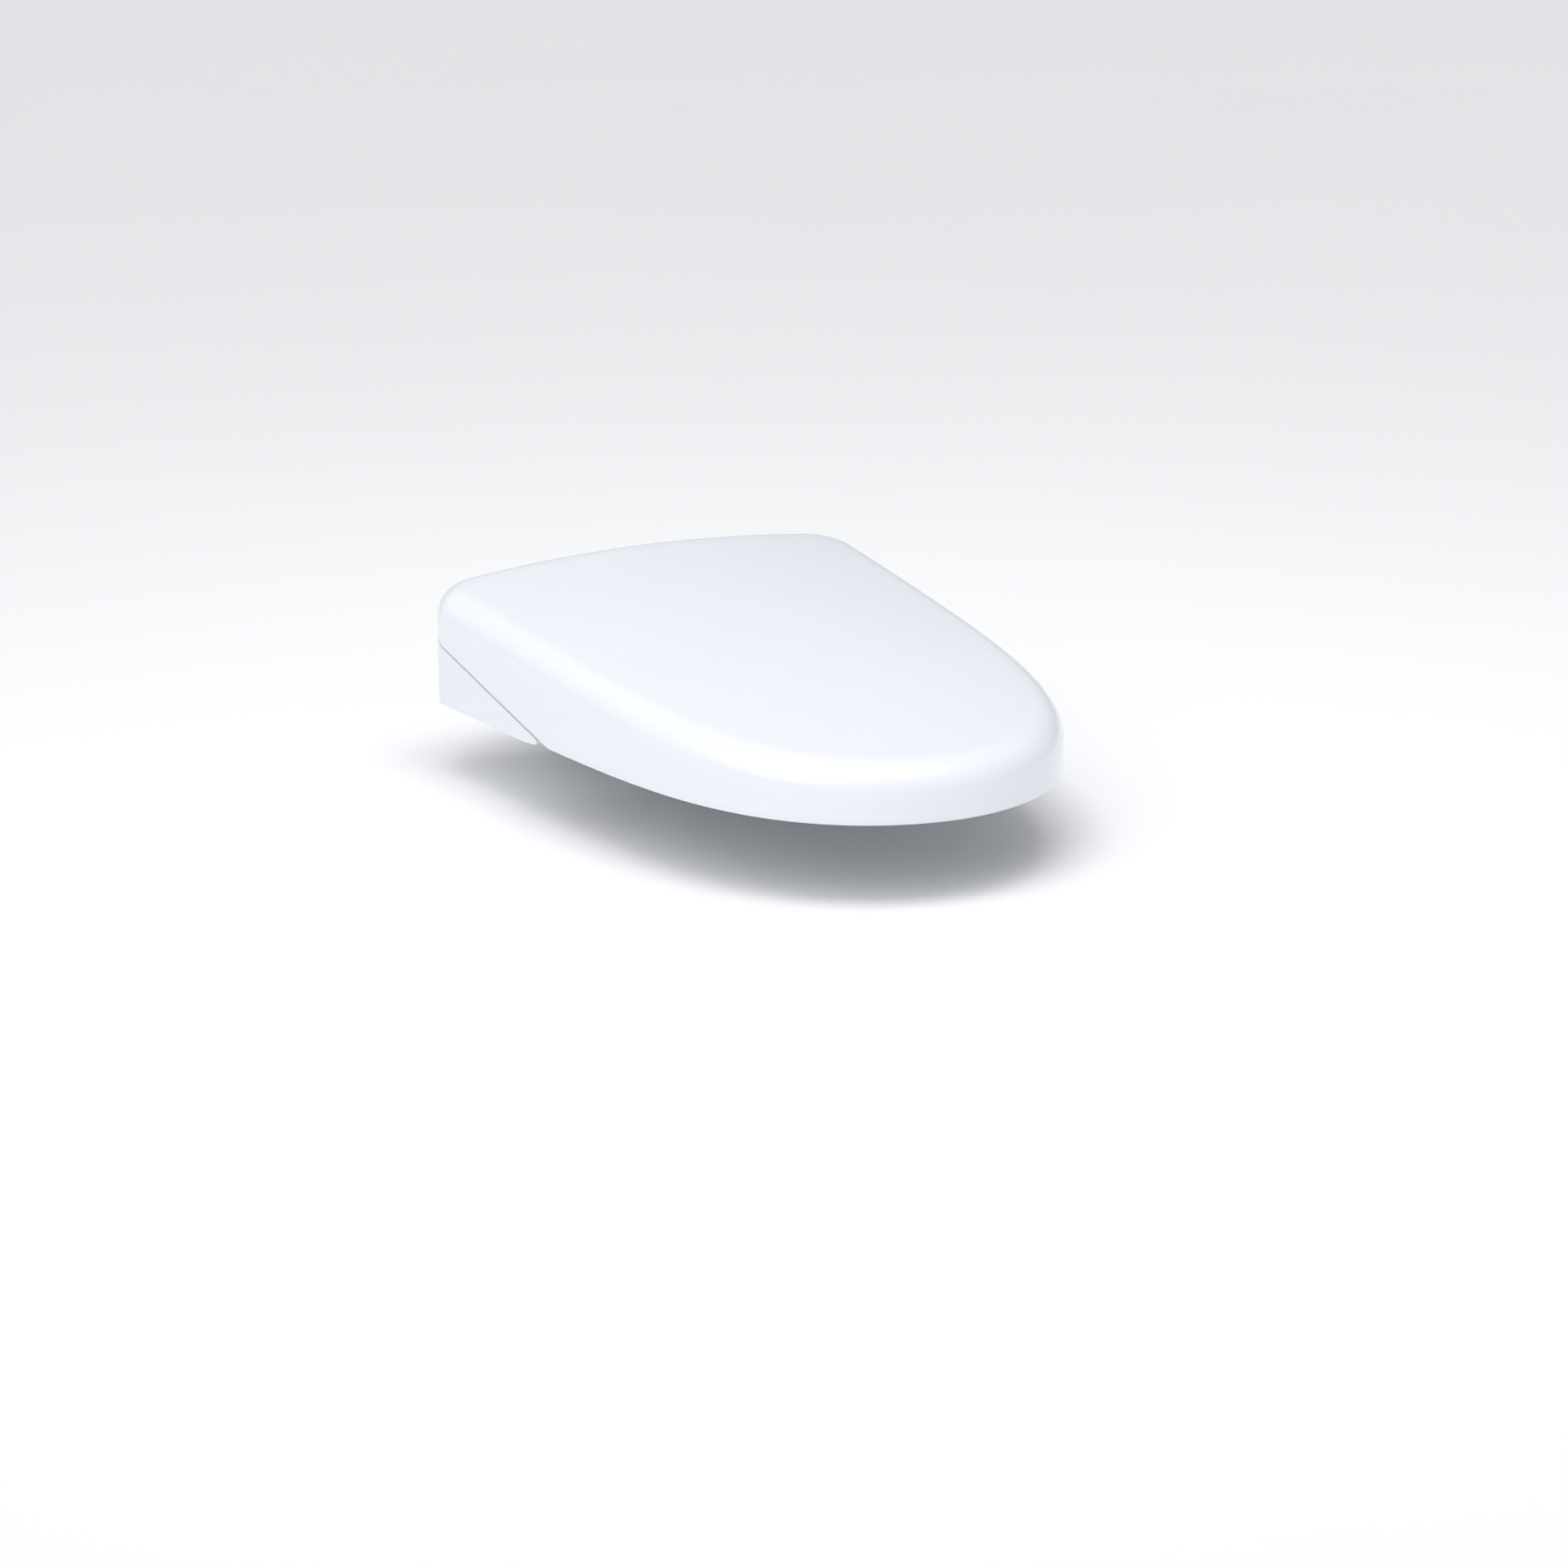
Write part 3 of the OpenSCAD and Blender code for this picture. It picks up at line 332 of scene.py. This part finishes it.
def outline(density):
    """The lid's plan, counter-clockwise from the front tip."""
    tip, side, corner, back = 12 * density, 7 * density, 5 * density, 2 * density
    split = math.asin(0.5 ** (SIDE_POWER / 2))
    half = []
    for i in range(tip):
        turn = math.pi / 2 - (math.pi / 2 - split) * i / tip
        u = math.sin(turn) ** (2 / SIDE_POWER)
        half.append((half_width(u) if i else 0.0, CORNER_Y - RUN * u))
    for i in range(side):
        u = 0.5 * (1 - i / side)
        half.append((half_width(u), CORNER_Y - RUN * u))
    for i in range(corner):
        turn = math.pi / 2 * i / corner
        half.append((FLAT_X + CORNER_R * math.cos(turn), CORNER_Y + CORNER_R * math.sin(turn)))
    for i in range(back + 1):
        x = FLAT_X * (1 - i / back)
        half.append((x, BACK_Y + BULGE * (1 - (x / FLAT_X) ** 2)))
    return half + [(-x, y) for x, y in half[-2:0:-1]]


def inset(points, depth):
    """The same plan, moved inwards by a depth."""
    count, moved = len(points), []
    for i, here in enumerate(points):
        before, after = points[i - 1], points[(i + 1) % count]
        a = Vector((before[1] - here[1], here[0] - before[0])).normalized()
        b = Vector((here[1] - after[1], after[0] - here[0])).normalized()
        step = (a + b) / (1 + a.dot(b)) * depth
        moved.append((here[0] + step.x, here[1] + step.y))
    return moved


PLAN = outline(5)

# ---------------------------------------------------------------- making pieces

SHARP = math.radians(34)
FLAT_ENOUGH = math.radians(0.6)


def finished(name, bm, body, finish, stands_for=(), outward=True):
    """Turns a bmesh into a piece that rides on a CAD body."""
    if outward:
        bmesh.ops.recalc_face_normals(bm, faces=bm.faces)
    mesh = bpy.data.meshes.new(name)
    for face in bm.faces:
        face.smooth = True
    bm.to_mesh(mesh)
    bm.free()
    mesh.materials.append(finish)
    piece = bpy.data.objects.new(name, mesh)
    scene.collection.objects.link(piece)
    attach(piece, body)
    if stands_for:
        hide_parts(*stands_for)
    return piece


def new_edges(made):
    """The free edges among what an extrusion made."""
    return [g for g in made if isinstance(g, bmesh.types.BMEdge) and g.is_boundary]


def new_verts(made):
    """The points among what an extrusion made."""
    return [g for g in made if isinstance(g, bmesh.types.BMVert)]


def grown(rings, first_point=None, last_point=None):
    """A skin extruded ring by ring, closed at points or joined into a tube."""
    bm = bmesh.new()
    spot = bm.verts.layers.int.new("spot")
    bmesh.ops.create_circle(bm, segments=len(rings[0]), radius=1)
    for i, vert in enumerate(bm.verts):
        vert[spot] = i
        vert.co = rings[0][i]
    first = edges = list(bm.edges)
    for ring in rings[1:]:
        made = bmesh.ops.extrude_edge_only(bm, edges=edges)["geom"]
        for vert in new_verts(made):
            vert.co = ring[vert[spot]]
        edges = new_edges(made)
    if first_point is None:
        bmesh.ops.bridge_loops(bm, edges=first + edges)
        return bm
    for loop, point in ((first, first_point), (edges, last_point)):
        made = bmesh.ops.extrude_edge_only(bm, edges=loop)["geom"]
        bmesh.ops.pointmerge(bm, verts=new_verts(made), merge_co=point)
    return bm


def softened(name, node, body, finish, width):
    """A copy of a CAD node, merged, with its edges rounded off."""
    bm = bmesh.new()
    bm.from_mesh(nodes[node].data)
    bmesh.ops.remove_doubles(bm, verts=bm.verts, dist=MERGE)
    bmesh.ops.dissolve_limit(bm, angle_limit=FLAT_ENOUGH, verts=bm.verts, edges=bm.edges)
    sharp = [e for e in bm.edges if e.is_manifold and e.calc_face_angle(0) > SHARP]
    bmesh.ops.bevel(bm, geom=sharp, offset=width, offset_type="OFFSET", affect="EDGES",
                    segments=3, profile=0.5, material=-1, clamp_overlap=True)
    bmesh.ops.remove_doubles(bm, verts=bm.verts, dist=MERGE)
    piece = finished(name, bm, body, finish, [node], outward=False)
    weigh = piece.modifiers.new("even_normals", "WEIGHTED_NORMAL")
    weigh.mode = "FACE_AREA"
    weigh.weight = 80
    return piece


# ---------------------------------------------------------------- lid

SHOULDER_STEPS = 10


def lid_rings(depth, share_steps):
    """Rings from the middle of the top, over the shoulder, to the start of the skirt."""
    radius = SHOULDER - depth
    top = inset(PLAN, SHOULDER)
    rings = []
    for k in range(1, share_steps + 1):
        share = (k / share_steps) ** 0.8
        rings.append([(x * share, MID_Y + (y - MID_Y) * share) for x, y in top])
    rings = [[(x, y, lid_top(x, y) - depth) for x, y in ring] for ring in rings]
    for k in range(SHOULDER_STEPS - 1, -1, -1):
        turn = math.pi / 2 * k / SHOULDER_STEPS
        ring = inset(PLAN, depth + radius * (1 - math.cos(turn)))
        rings.append([(x, y, lid_top(x, y) - depth - radius * (1 - math.sin(turn))) for x, y in ring])
    return rings


def lid_cover():
    """The lid's shell: crowned top, soft shoulder, straight skirt with a rounded lower edge."""
    outside = lid_rings(0.0, 16)
    inside = lid_rings(WALL, 12)
    edge = 0.0009
    skirt = []
    for drop in (0.25, 0.5, 0.75):
        skirt.append([(x, y, z + (lid_edge(y) + edge - z) * drop) for x, y, z in outside[-1]])
    for k in range(4):
        turn = math.pi / 2 * k / 3
        ring = inset(PLAN, edge * (1 - math.cos(turn)))
        skirt.append([(x, y, lid_edge(y) + edge * (1 - math.sin(turn))) for x, y in ring])
    lip = []
    for k in range(4):
        turn = math.pi / 2 * (1 - k / 3)
        ring = inset(PLAN, WALL - edge * (1 - math.cos(turn)))
        lip.append([(x, y, lid_edge(y) + edge * (1 - math.sin(turn))) for x, y in ring])
    # A stiffening bead runs round the inside, a little above the lower edge
    bead = []
    for rise, out in ((0.004, 0.0), (0.0046, 0.0008), (0.006, 0.0011), (0.0074, 0.0008), (0.008, 0.0)):
        ring = inset(PLAN, WALL + out)
        bead.append([(x, y, lid_edge(y) + rise) for x, y in ring])
    centre = lid_top(0, MID_Y)
    bm = grown(outside + skirt + lip + bead + inside[::-1],
               (0, MID_Y, centre), (0, MID_Y, centre - WALL))
    return finished("lid_cover", bm, "lid", lid_gloss, ["lid_shell"])


lid_cover()

# ---------------------------------------------------------------- seat ring

SEAT_INSET = 0.008
SEAT_BACK = seat_high_box.y
SEAT_FRONT = FRONT_Y + SEAT_INSET
SEAT_X = seat_high_box.x
SEAT_CORNER = 0.014
SIDE_LAND, FRONT_LAND, BRIDGE = 0.071, 0.05, 0.035
SEAT_LOW, SEAT_HIGH = seat_low_box.z, 0.034
HOLE_BACK = SEAT_BACK - BRIDGE
HOLE_LEN = HOLE_BACK - SEAT_FRONT - FRONT_LAND
HOLE_W = 2 * (SEAT_X - SIDE_LAND)
HOLE_MID = HOLE_BACK - HOLE_LEN / 2
SEAT_MID = (SEAT_BACK + SEAT_FRONT) / 2
# The underside climbs from one of these lines to the other, clear of the housing
RAMP_TOP = SEAT_BACK - 0.02
RAMP_LOW = RAMP_TOP - 0.038
# Shares of the way from the seat's edge to its opening where the two hollow walls start
OUTER_WALL, INNER_WALL = 0.08, 0.92
EDGE_FLAT = 0.0016


def seat_plan():
    """The seat's plan: the lid's, moved in, with its own rear corners."""
    edge = inset(PLAN, SEAT_INSET)
    half = [p for p in edge[: len(PLAN) // 2] if p[1] < SEAT_BACK - SEAT_CORNER - 0.003]
    for k in range(13):
        turn = math.pi / 2 * k / 12
        half.append((SEAT_X + SEAT_CORNER * (math.cos(turn) - 1),
                     SEAT_BACK + SEAT_CORNER * (math.sin(turn) - 1)))
    start = half[-1][0]
    half += [(start * (1 - k / 14), SEAT_BACK) for k in range(1, 15)]
    return half + [(-x, y) for x, y in half[-2:0:-1]]


SEAT_PLAN = seat_plan()


def seat_under(y):
    """Height of the seat's underside."""
    rise = min(1.0, max(0.0, (y - RAMP_LOW) / (RAMP_TOP - RAMP_LOW)))
    return SEAT_LOW + (SEAT_HIGH - SEAT_LOW) * rise


def hole_point(x, y):
    """The point of the opening's edge that answers to a point of the seat's edge."""
    turn = math.atan2((y - SEAT_MID) / (SEAT_BACK - SEAT_MID), x / SEAT_X)
    return HOLE_W / 2 * math.cos(turn), HOLE_MID + HOLE_LEN / 2 * math.sin(turn)


def seat_ring_points(share):
    """A ring round the seat, from 0 at its edge to 1 at the opening."""
    points = []
    for x, y in SEAT_PLAN:
        hx, hy = hole_point(x, y)
        points.append((x + (hx - x) * share, y + (hy - y) * share))
    return points


def seat_top_ring(share, drop):
    return [(x, y, lid_top(x, y) - WALL - SEAT_GAP - drop) for x, y in seat_ring_points(share)]


def seat_low_ring(share, rise):
    return [(x, y, seat_under(y) + rise) for x, y in seat_ring_points(share)]


def curve_through(knots, steps):
    """A smooth run of pairs through the given ones."""
    run = []
    ends = [knots[0]] + knots + [knots[-1]]
    for a, b, c, d in zip(ends, ends[1:], ends[2:], ends[3:]):
        for k in range(steps):
            t = k / steps
            run.append(tuple(
                0.5 * (2 * q + (r - p) * t + (2 * p - 5 * q + 4 * r - s) * t ** 2
                       + (3 * q - p - 3 * r + s) * t ** 3)
                for p, q, r, s in zip(a, b, c, d)))
    return run + [knots[-1]]


SKIN = [(0.0, 0.014), (0.012, 0.0098), (0.05, 0.0053), (0.12, 0.0018), (0.2, 0.0005), (0.3, 0.0),
        (0.42, 0.0003), (0.55, 0.0011), (0.7, 0.003), (0.82, 0.0057), (0.92, 0.0095),
        (0.975, 0.0132), (1.0, 0.018)]


def seat_ring():
    """The seat: a soft crown that falls away to the opening, hollow underneath."""
    rings = [seat_low_ring(0.0, EDGE_FLAT)]
    rings += [seat_top_ring(share, drop) for share, drop in curve_through(SKIN, 4)]
    rings += [seat_low_ring(1.0, EDGE_FLAT), seat_low_ring(0.997, 0.0005), seat_low_ring(0.988, 0.0)]
    rings += [seat_low_ring(INNER_WALL, 0.0), seat_low_ring(INNER_WALL, 0.003)]
    rings += [seat_top_ring(share, drop) for share, drop in
              ((INNER_WALL, 0.017), (0.76, 0.0095), (0.55, 0.0045), (0.3, 0.0035), (0.16, 0.006),
               (OUTER_WALL, 0.014))]
    rings += [seat_low_ring(OUTER_WALL, 0.003), seat_low_ring(OUTER_WALL, 0.0)]
    rings += [seat_low_ring(0.012, 0.0), seat_low_ring(0.003, 0.0005)]
    return finished("seat_ring", grown(rings), "seat", seat_gloss, ["seat_top"])


def seat_underplate():
    """The plate under the seat, sunk a little inside a border along each edge."""
    face = [(0.1, 0.0006), (0.108, 0.0), (0.17, 0.0), (0.18, 0.0009), (0.34, 0.0009), (0.66, 0.0009),
            (0.81, 0.0009), (0.82, 0.0), (0.892, 0.0), (0.9, 0.0006)]
    rings = [seat_low_ring(share, rise) for share, rise in face]
    rings += [seat_low_ring(share, 0.003) for share in (0.9, 0.65, 0.35, 0.1)]
    return finished("seat_underplate", grown(rings), "seat", grey_satin, ["seat_bottom"])


SCREW_CLEAR = 0.0125
LOBES = 6


def seat_screws():
    """Pan heads with a lobed recess, in the land between the pads."""
    pads = [v.co for v in nodes["seat_bumpers"].data.vertices]
    line = seat_ring_points(0.5)
    half = len(line) // 2
    places = [line[int(half * share)] for share in (0.1, 0.24, 0.38, 0.5, 0.6, 0.68)]
    places = [p for p in places if p[1] < RAMP_LOW - 0.004
              and all(math.dist(p, (v.x, v.y)) > SCREW_CLEAR for v in pads)]
    for count, (x, y) in enumerate(places + [(-x, y) for x, y in places]):
        rings = []
        for radius, lobe, rise in ((0.003, 0, 0.0016), (0.003, 0, 0.0006), (0.0026, 0, 0.0002),
                                   (0.0019, 0, 0.0001), (0.00135, 0.0002, 0.0001),
                                   (0.0013, 0.0002, 0.0007)):
            ring = []
            for k in range(36):
                turn = math.tau * k / 36
                r = radius + lobe * math.cos(LOBES * turn)
                ring.append((x + r * math.cos(turn), y + r * math.sin(turn), SEAT_LOW + rise))
            rings.append(ring)
        bm = grown(rings, (x, y, SEAT_LOW + 0.0016), (x, y, SEAT_LOW + 0.0007))
        finished(f"seat_screw_{count + 1}", bm, "seat", steel)


seat_ring()
seat_underplate()
seat_screws()

# ---------------------------------------------------------------- parts with rounded edges

for name, node, body, finish, slot, width in (
    ("left_side_panel", "side_panel_left", "base", case_gloss, "white_plastic", 0.0006),
    ("right_side_panel", "side_panel_right", "base", case_gloss, "white_plastic", 0.0006),
    ("rear_housing", "housing_cover", "base", case_gloss, "white_plastic", 0.0006),
    ("base_tray", "base_pan", "base", case_satin, "white_plastic", 0.0004),
    ("left_lid_ear", "lid_ear_left", "lid", case_satin, "white_plastic", 0.0007),
    ("right_lid_ear", "lid_ear_right", "lid", case_satin, "white_plastic", 0.0007),
    ("left_seat_arm", "seat_arm_left", "seat", case_satin, "white_plastic", 0.0007),
    ("right_seat_arm", "seat_arm_right", "seat", case_satin, "white_plastic", 0.0007),
    ("dryer_door_leaf", "dryer_flap", "dryer_door", case_gloss, "white_plastic", 0.0004),
    ("slide_plate", "mounting_plate", "mount", grey_satin, "grey_plastic", 0.0006),
    ("release_key", "release_button", "release", grey_satin, "grey_plastic", 0.0008),
    ("power_switch", "power_key", "power", grey_satin, "grey_plastic", 0.0006),
    ("lid_pads", "lid_bumpers", "lid", soft_pad, "soft_pad", 0.0012),
    ("seat_pads", "seat_bumpers", "seat", soft_pad, "soft_pad", 0.0014),
    ("base_feet", "base_pads", "base", rubber, "black_rubber", 0.0006),
    ("filter_drawer", "deodor_filter", "filter", charcoal, "dark_plastic", 0.0005),
    ("receiver_pane", "receiver_window", "base", smoked, "smoked_window", 0.0003),
    ("plate_seal", "plate_gasket", "mount", rubber, "black_rubber", 0.0003),
):
    softened(name, node, body, finish, width)

# ---------------------------------------------------------------- threads and ribs


CREASE = math.radians(32)
RIM_REACH = 0.02
BORE_SLACK = 1.2


def carried_on(name, node, body, finish, centres, ahead, start, end, step, radius, bore=0.0):
    """A CAD node cut square to an axis, and carried on from the cut in rings of a given radius."""
    bm = bmesh.new()
    bm.from_mesh(nodes[node].data)
    bmesh.ops.remove_doubles(bm, verts=bm.verts, dist=MERGE)
    ahead, across = Vector(ahead), Vector((1, 0, 0))
    up = ahead.cross(across)
    bmesh.ops.bisect_plane(bm, geom=list(bm.verts) + list(bm.edges) + list(bm.faces), dist=MERGE / 20,
                           plane_co=Vector(centres[0]) + ahead * start, plane_no=ahead, clear_outer=True)
    for centre in centres:
        centre = Vector(centre)

        def away(vert):
            offset = vert.co - centre
            return offset - ahead * offset.dot(ahead)

        rim = [e for e in bm.edges if e.is_boundary and all(away(v).length < RIM_REACH for v in e.verts)]
        edges = [e for e in rim if away(e.verts[0]).length > bore * BORE_SLACK]
        inner = [e for e in rim if away(e.verts[0]).length <= bore * BORE_SLACK]
        count = round((end - start) / step)
        for k in range(1, count + 1):
            along = start + (end - start) * k / count
            made = bmesh.ops.extrude_edge_only(bm, edges=edges)["geom"]
            for vert in new_verts(made):
                side = away(vert)
                turn = math.atan2(side.dot(up), side.dot(across))
                vert.co = centre + ahead * along + side.normalized() * radius(along, turn)
            edges = new_edges(made)
        if bore:
            made = bmesh.ops.extrude_edge_only(bm, edges=inner)["geom"]
            bmesh.ops.translate(bm, verts=new_verts(made), vec=ahead * (end - start))
            bmesh.ops.bridge_loops(bm, edges=edges + new_edges(made))
        else:
            made = bmesh.ops.extrude_edge_only(bm, edges=edges)["geom"]
            bmesh.ops.pointmerge(bm, verts=new_verts(made), merge_co=centre + ahead * end)
    for edge in bm.edges:
        edge.smooth = not (edge.is_manifold and edge.calc_face_angle(0) > CREASE)
    return finished(name, bm, body, finish, [node])


def thread(crest, depth, pitch, start, end):
    """Radius of a screw thread that fades in at one end and is chamfered at the other."""
    def radius(along, turn):
        ridge = abs(2 * ((along / pitch - turn / math.tau) % 1) - 1)
        fade = min(1.0, (along - start) / pitch)
        chamfer = max(0.0, 0.8 * pitch - (end - along))
        return crest - max(depth * fade * (1 - ridge), chamfer)
    return radius


GLAND_CUT, GLAND_END, GLAND_R, RIB_DEPTH, RIB_PITCH, GLAND_TAPER = 0.001, 0.009, 0.0069, 0.0012, 0.002, 0.12


def ribs(along, _turn):
    """Radius of the cord gland's collar, ribbed and drawn in towards its mouth."""
    out = along - GLAND_CUT
    return GLAND_R - RIB_DEPTH / 2 * (1 - math.cos(math.tau * out / RIB_PITCH)) - GLAND_TAPER * out


BOLT_X, BOLT_R, BOLT_CUT, BOLT_END, BOLT_PITCH = 0.07, 0.004, 0.003, 0.058, 0.00125
carried_on("bowl_bolts", "mounting_bolts", "mount", bolt_steel,
           [(-BOLT_X, 0, 0), (BOLT_X, 0, 0)], (0, 0, -1), BOLT_CUT, BOLT_END, BOLT_PITCH / 5,
           thread(BOLT_R, 0.0006, BOLT_PITCH, BOLT_CUT, BOLT_END))

INLET_X, INLET_Y, INLET_R, INLET_BORE = HALF_W - 0.0147, -0.002, 0.01048, 0.004
INLET_CUT, INLET_END, INLET_PITCH = 0.0005, 0.013, 0.001814
carried_on("threaded_inlet", "water_inlet", "base", grey_satin,
           [(INLET_X, INLET_Y, 0)], (0, 0, -1), INLET_CUT, INLET_END, 0.0003,
           thread(INLET_R, 0.0009, INLET_PITCH, INLET_CUT, INLET_END), bore=INLET_BORE)

gland_low, gland_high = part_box("cord_gland")
carried_on("ribbed_gland", "cord_gland", "base", rubber,
           [((gland_low.x + gland_high.x) / 2, BACK_Y, (gland_low.z + gland_high.z) / 2)], (0, 1, 0),
           GLAND_CUT, GLAND_END, 0.00025, ribs, bore=0.0034)

# ---------------------------------------------------------------- CAD nodes that stay

for finish, kept in (
    (grey_satin, ("nozzle_guide", "heater_tank")),
    (gear_grey, ("nozzle_rack", "nozzle_pinion", "dryer_rotor", "deodor_rotor")),
    (rubber, ("inlet_hose", "tank_hose")),
    (dark_case, ("dryer_housing", "dryer_duct", "deodor_housing", "inlet_valve", "air_pump")),
    (smoked, ("user_sensor",)),
    (lens, ("status_lights", "night_light")),
    (foil, ("seat_heater",)),
    (board_green, ("power_board", "control_board")),
    (nozzle_white, ("nozzle_wand", "nozzle_tip")),
    (steel, ("hinge_pin_left", "hinge_pin_right", "case_screws", "bolt_washers")),
    (zinc, ("seat_damper", "lid_damper", "nozzle_motor")),
):
    for node in kept:
        nodes[node].material_slots[0].material = finish

# ---------------------------------------------------------------- floor, light and camera

floor_z = cad_box[0].z
FLOOR_R, FLOOR_GAP = 26.0, 0.0005


def studio_floor():
    """A plain pale floor just under the bolts."""
    bm = bmesh.new()
    bmesh.ops.create_circle(bm, segments=96, radius=FLOOR_R, cap_ends=True)
    bmesh.ops.translate(bm, verts=bm.verts, vec=(0, 0, floor_z - FLOOR_GAP))
    mesh = bpy.data.meshes.new("studio_floor")
    bm.to_mesh(mesh)
    bm.free()
    made = Finish("studio_floor_paint", Roughness=0.9, Specular_IOR_Level=0.1)
    made.set(Base_Color=made.mix(made.noise(1.5), (0.93, 0.935, 0.94), (0.95, 0.952, 0.955)))
    mesh.materials.append(made.material)
    floor = bpy.data.objects.new("studio_floor", mesh)
    scene.collection.objects.link(floor)


def soft_light(name, place, aim, width, height, power):
    """A rectangular softbox turned towards a point."""
    lamp = bpy.data.lights.new(name, "AREA")
    lamp.shape, lamp.size, lamp.size_y, lamp.energy = "RECTANGLE", width, height, power
    lit = bpy.data.objects.new(name, lamp)
    lit.location = place
    lit.rotation_euler = (Vector(aim) - Vector(place)).to_track_quat("-Z", "Y").to_euler()
    scene.collection.objects.link(lit)


def sun_light(name, azimuth, elevation, power, spread, colour):
    """A very large, very distant panel; angles in degrees."""
    lamp = bpy.data.lights.new(name, "SUN")
    lamp.energy, lamp.angle, lamp.color = power, math.radians(spread), colour
    lit = bpy.data.objects.new(name, lamp)
    a, e = math.radians(azimuth), math.radians(elevation)
    toward = Vector((math.sin(a) * math.cos(e), -math.cos(a) * math.cos(e), math.sin(e)))
    lit.rotation_euler = (-toward).to_track_quat("-Z", "Y").to_euler()
    scene.collection.objects.link(lit)


studio_floor()
middle = (0.0, MID_Y, 0.05)
sun_light("side_panel", -76, 46, 0.88, 60, (0.985, 0.985, 1.0))
sun_light("sky_panel", -14, 75, 0.5, 60, (0.985, 0.99, 1.0))
soft_light("overhead_softbox", (-0.25, -0.7, 1.9), middle, 1.5, 0.9, 14.5)

world = bpy.data.worlds.new("studio")
world.use_nodes = True
world.node_tree.nodes["Background"].inputs["Color"].default_value = (0.96, 0.975, 1.0, 1)
world.node_tree.nodes["Background"].inputs["Strength"].default_value = 0.485
scene.world = world
scene.view_settings.view_transform = "Standard"
scene.view_settings.look = "None"

VIEW_AZIMUTH, VIEW_ELEVATION, VIEW_DISTANCE = math.radians(-30.38), math.radians(14.98), 3.0
camera = bpy.data.cameras.new("studio_camera")
camera.sensor_width, camera.lens = 36.0, 89.9
camera.shift_x, camera.shift_y = -0.0082, -0.0753
camera.clip_start, camera.clip_end = 0.05, 60.0
eye = bpy.data.objects.new("studio_camera", camera)
back = Vector((math.sin(VIEW_AZIMUTH) * math.cos(VIEW_ELEVATION),
               -math.cos(VIEW_AZIMUTH) * math.cos(VIEW_ELEVATION), math.sin(VIEW_ELEVATION)))
eye.location = Vector((0.0, -0.222, 0.06)) + back * VIEW_DISTANCE
eye.rotation_euler = (-back).to_track_quat("-Z", "Y").to_euler()
scene.collection.objects.link(eye)
scene.camera = eye
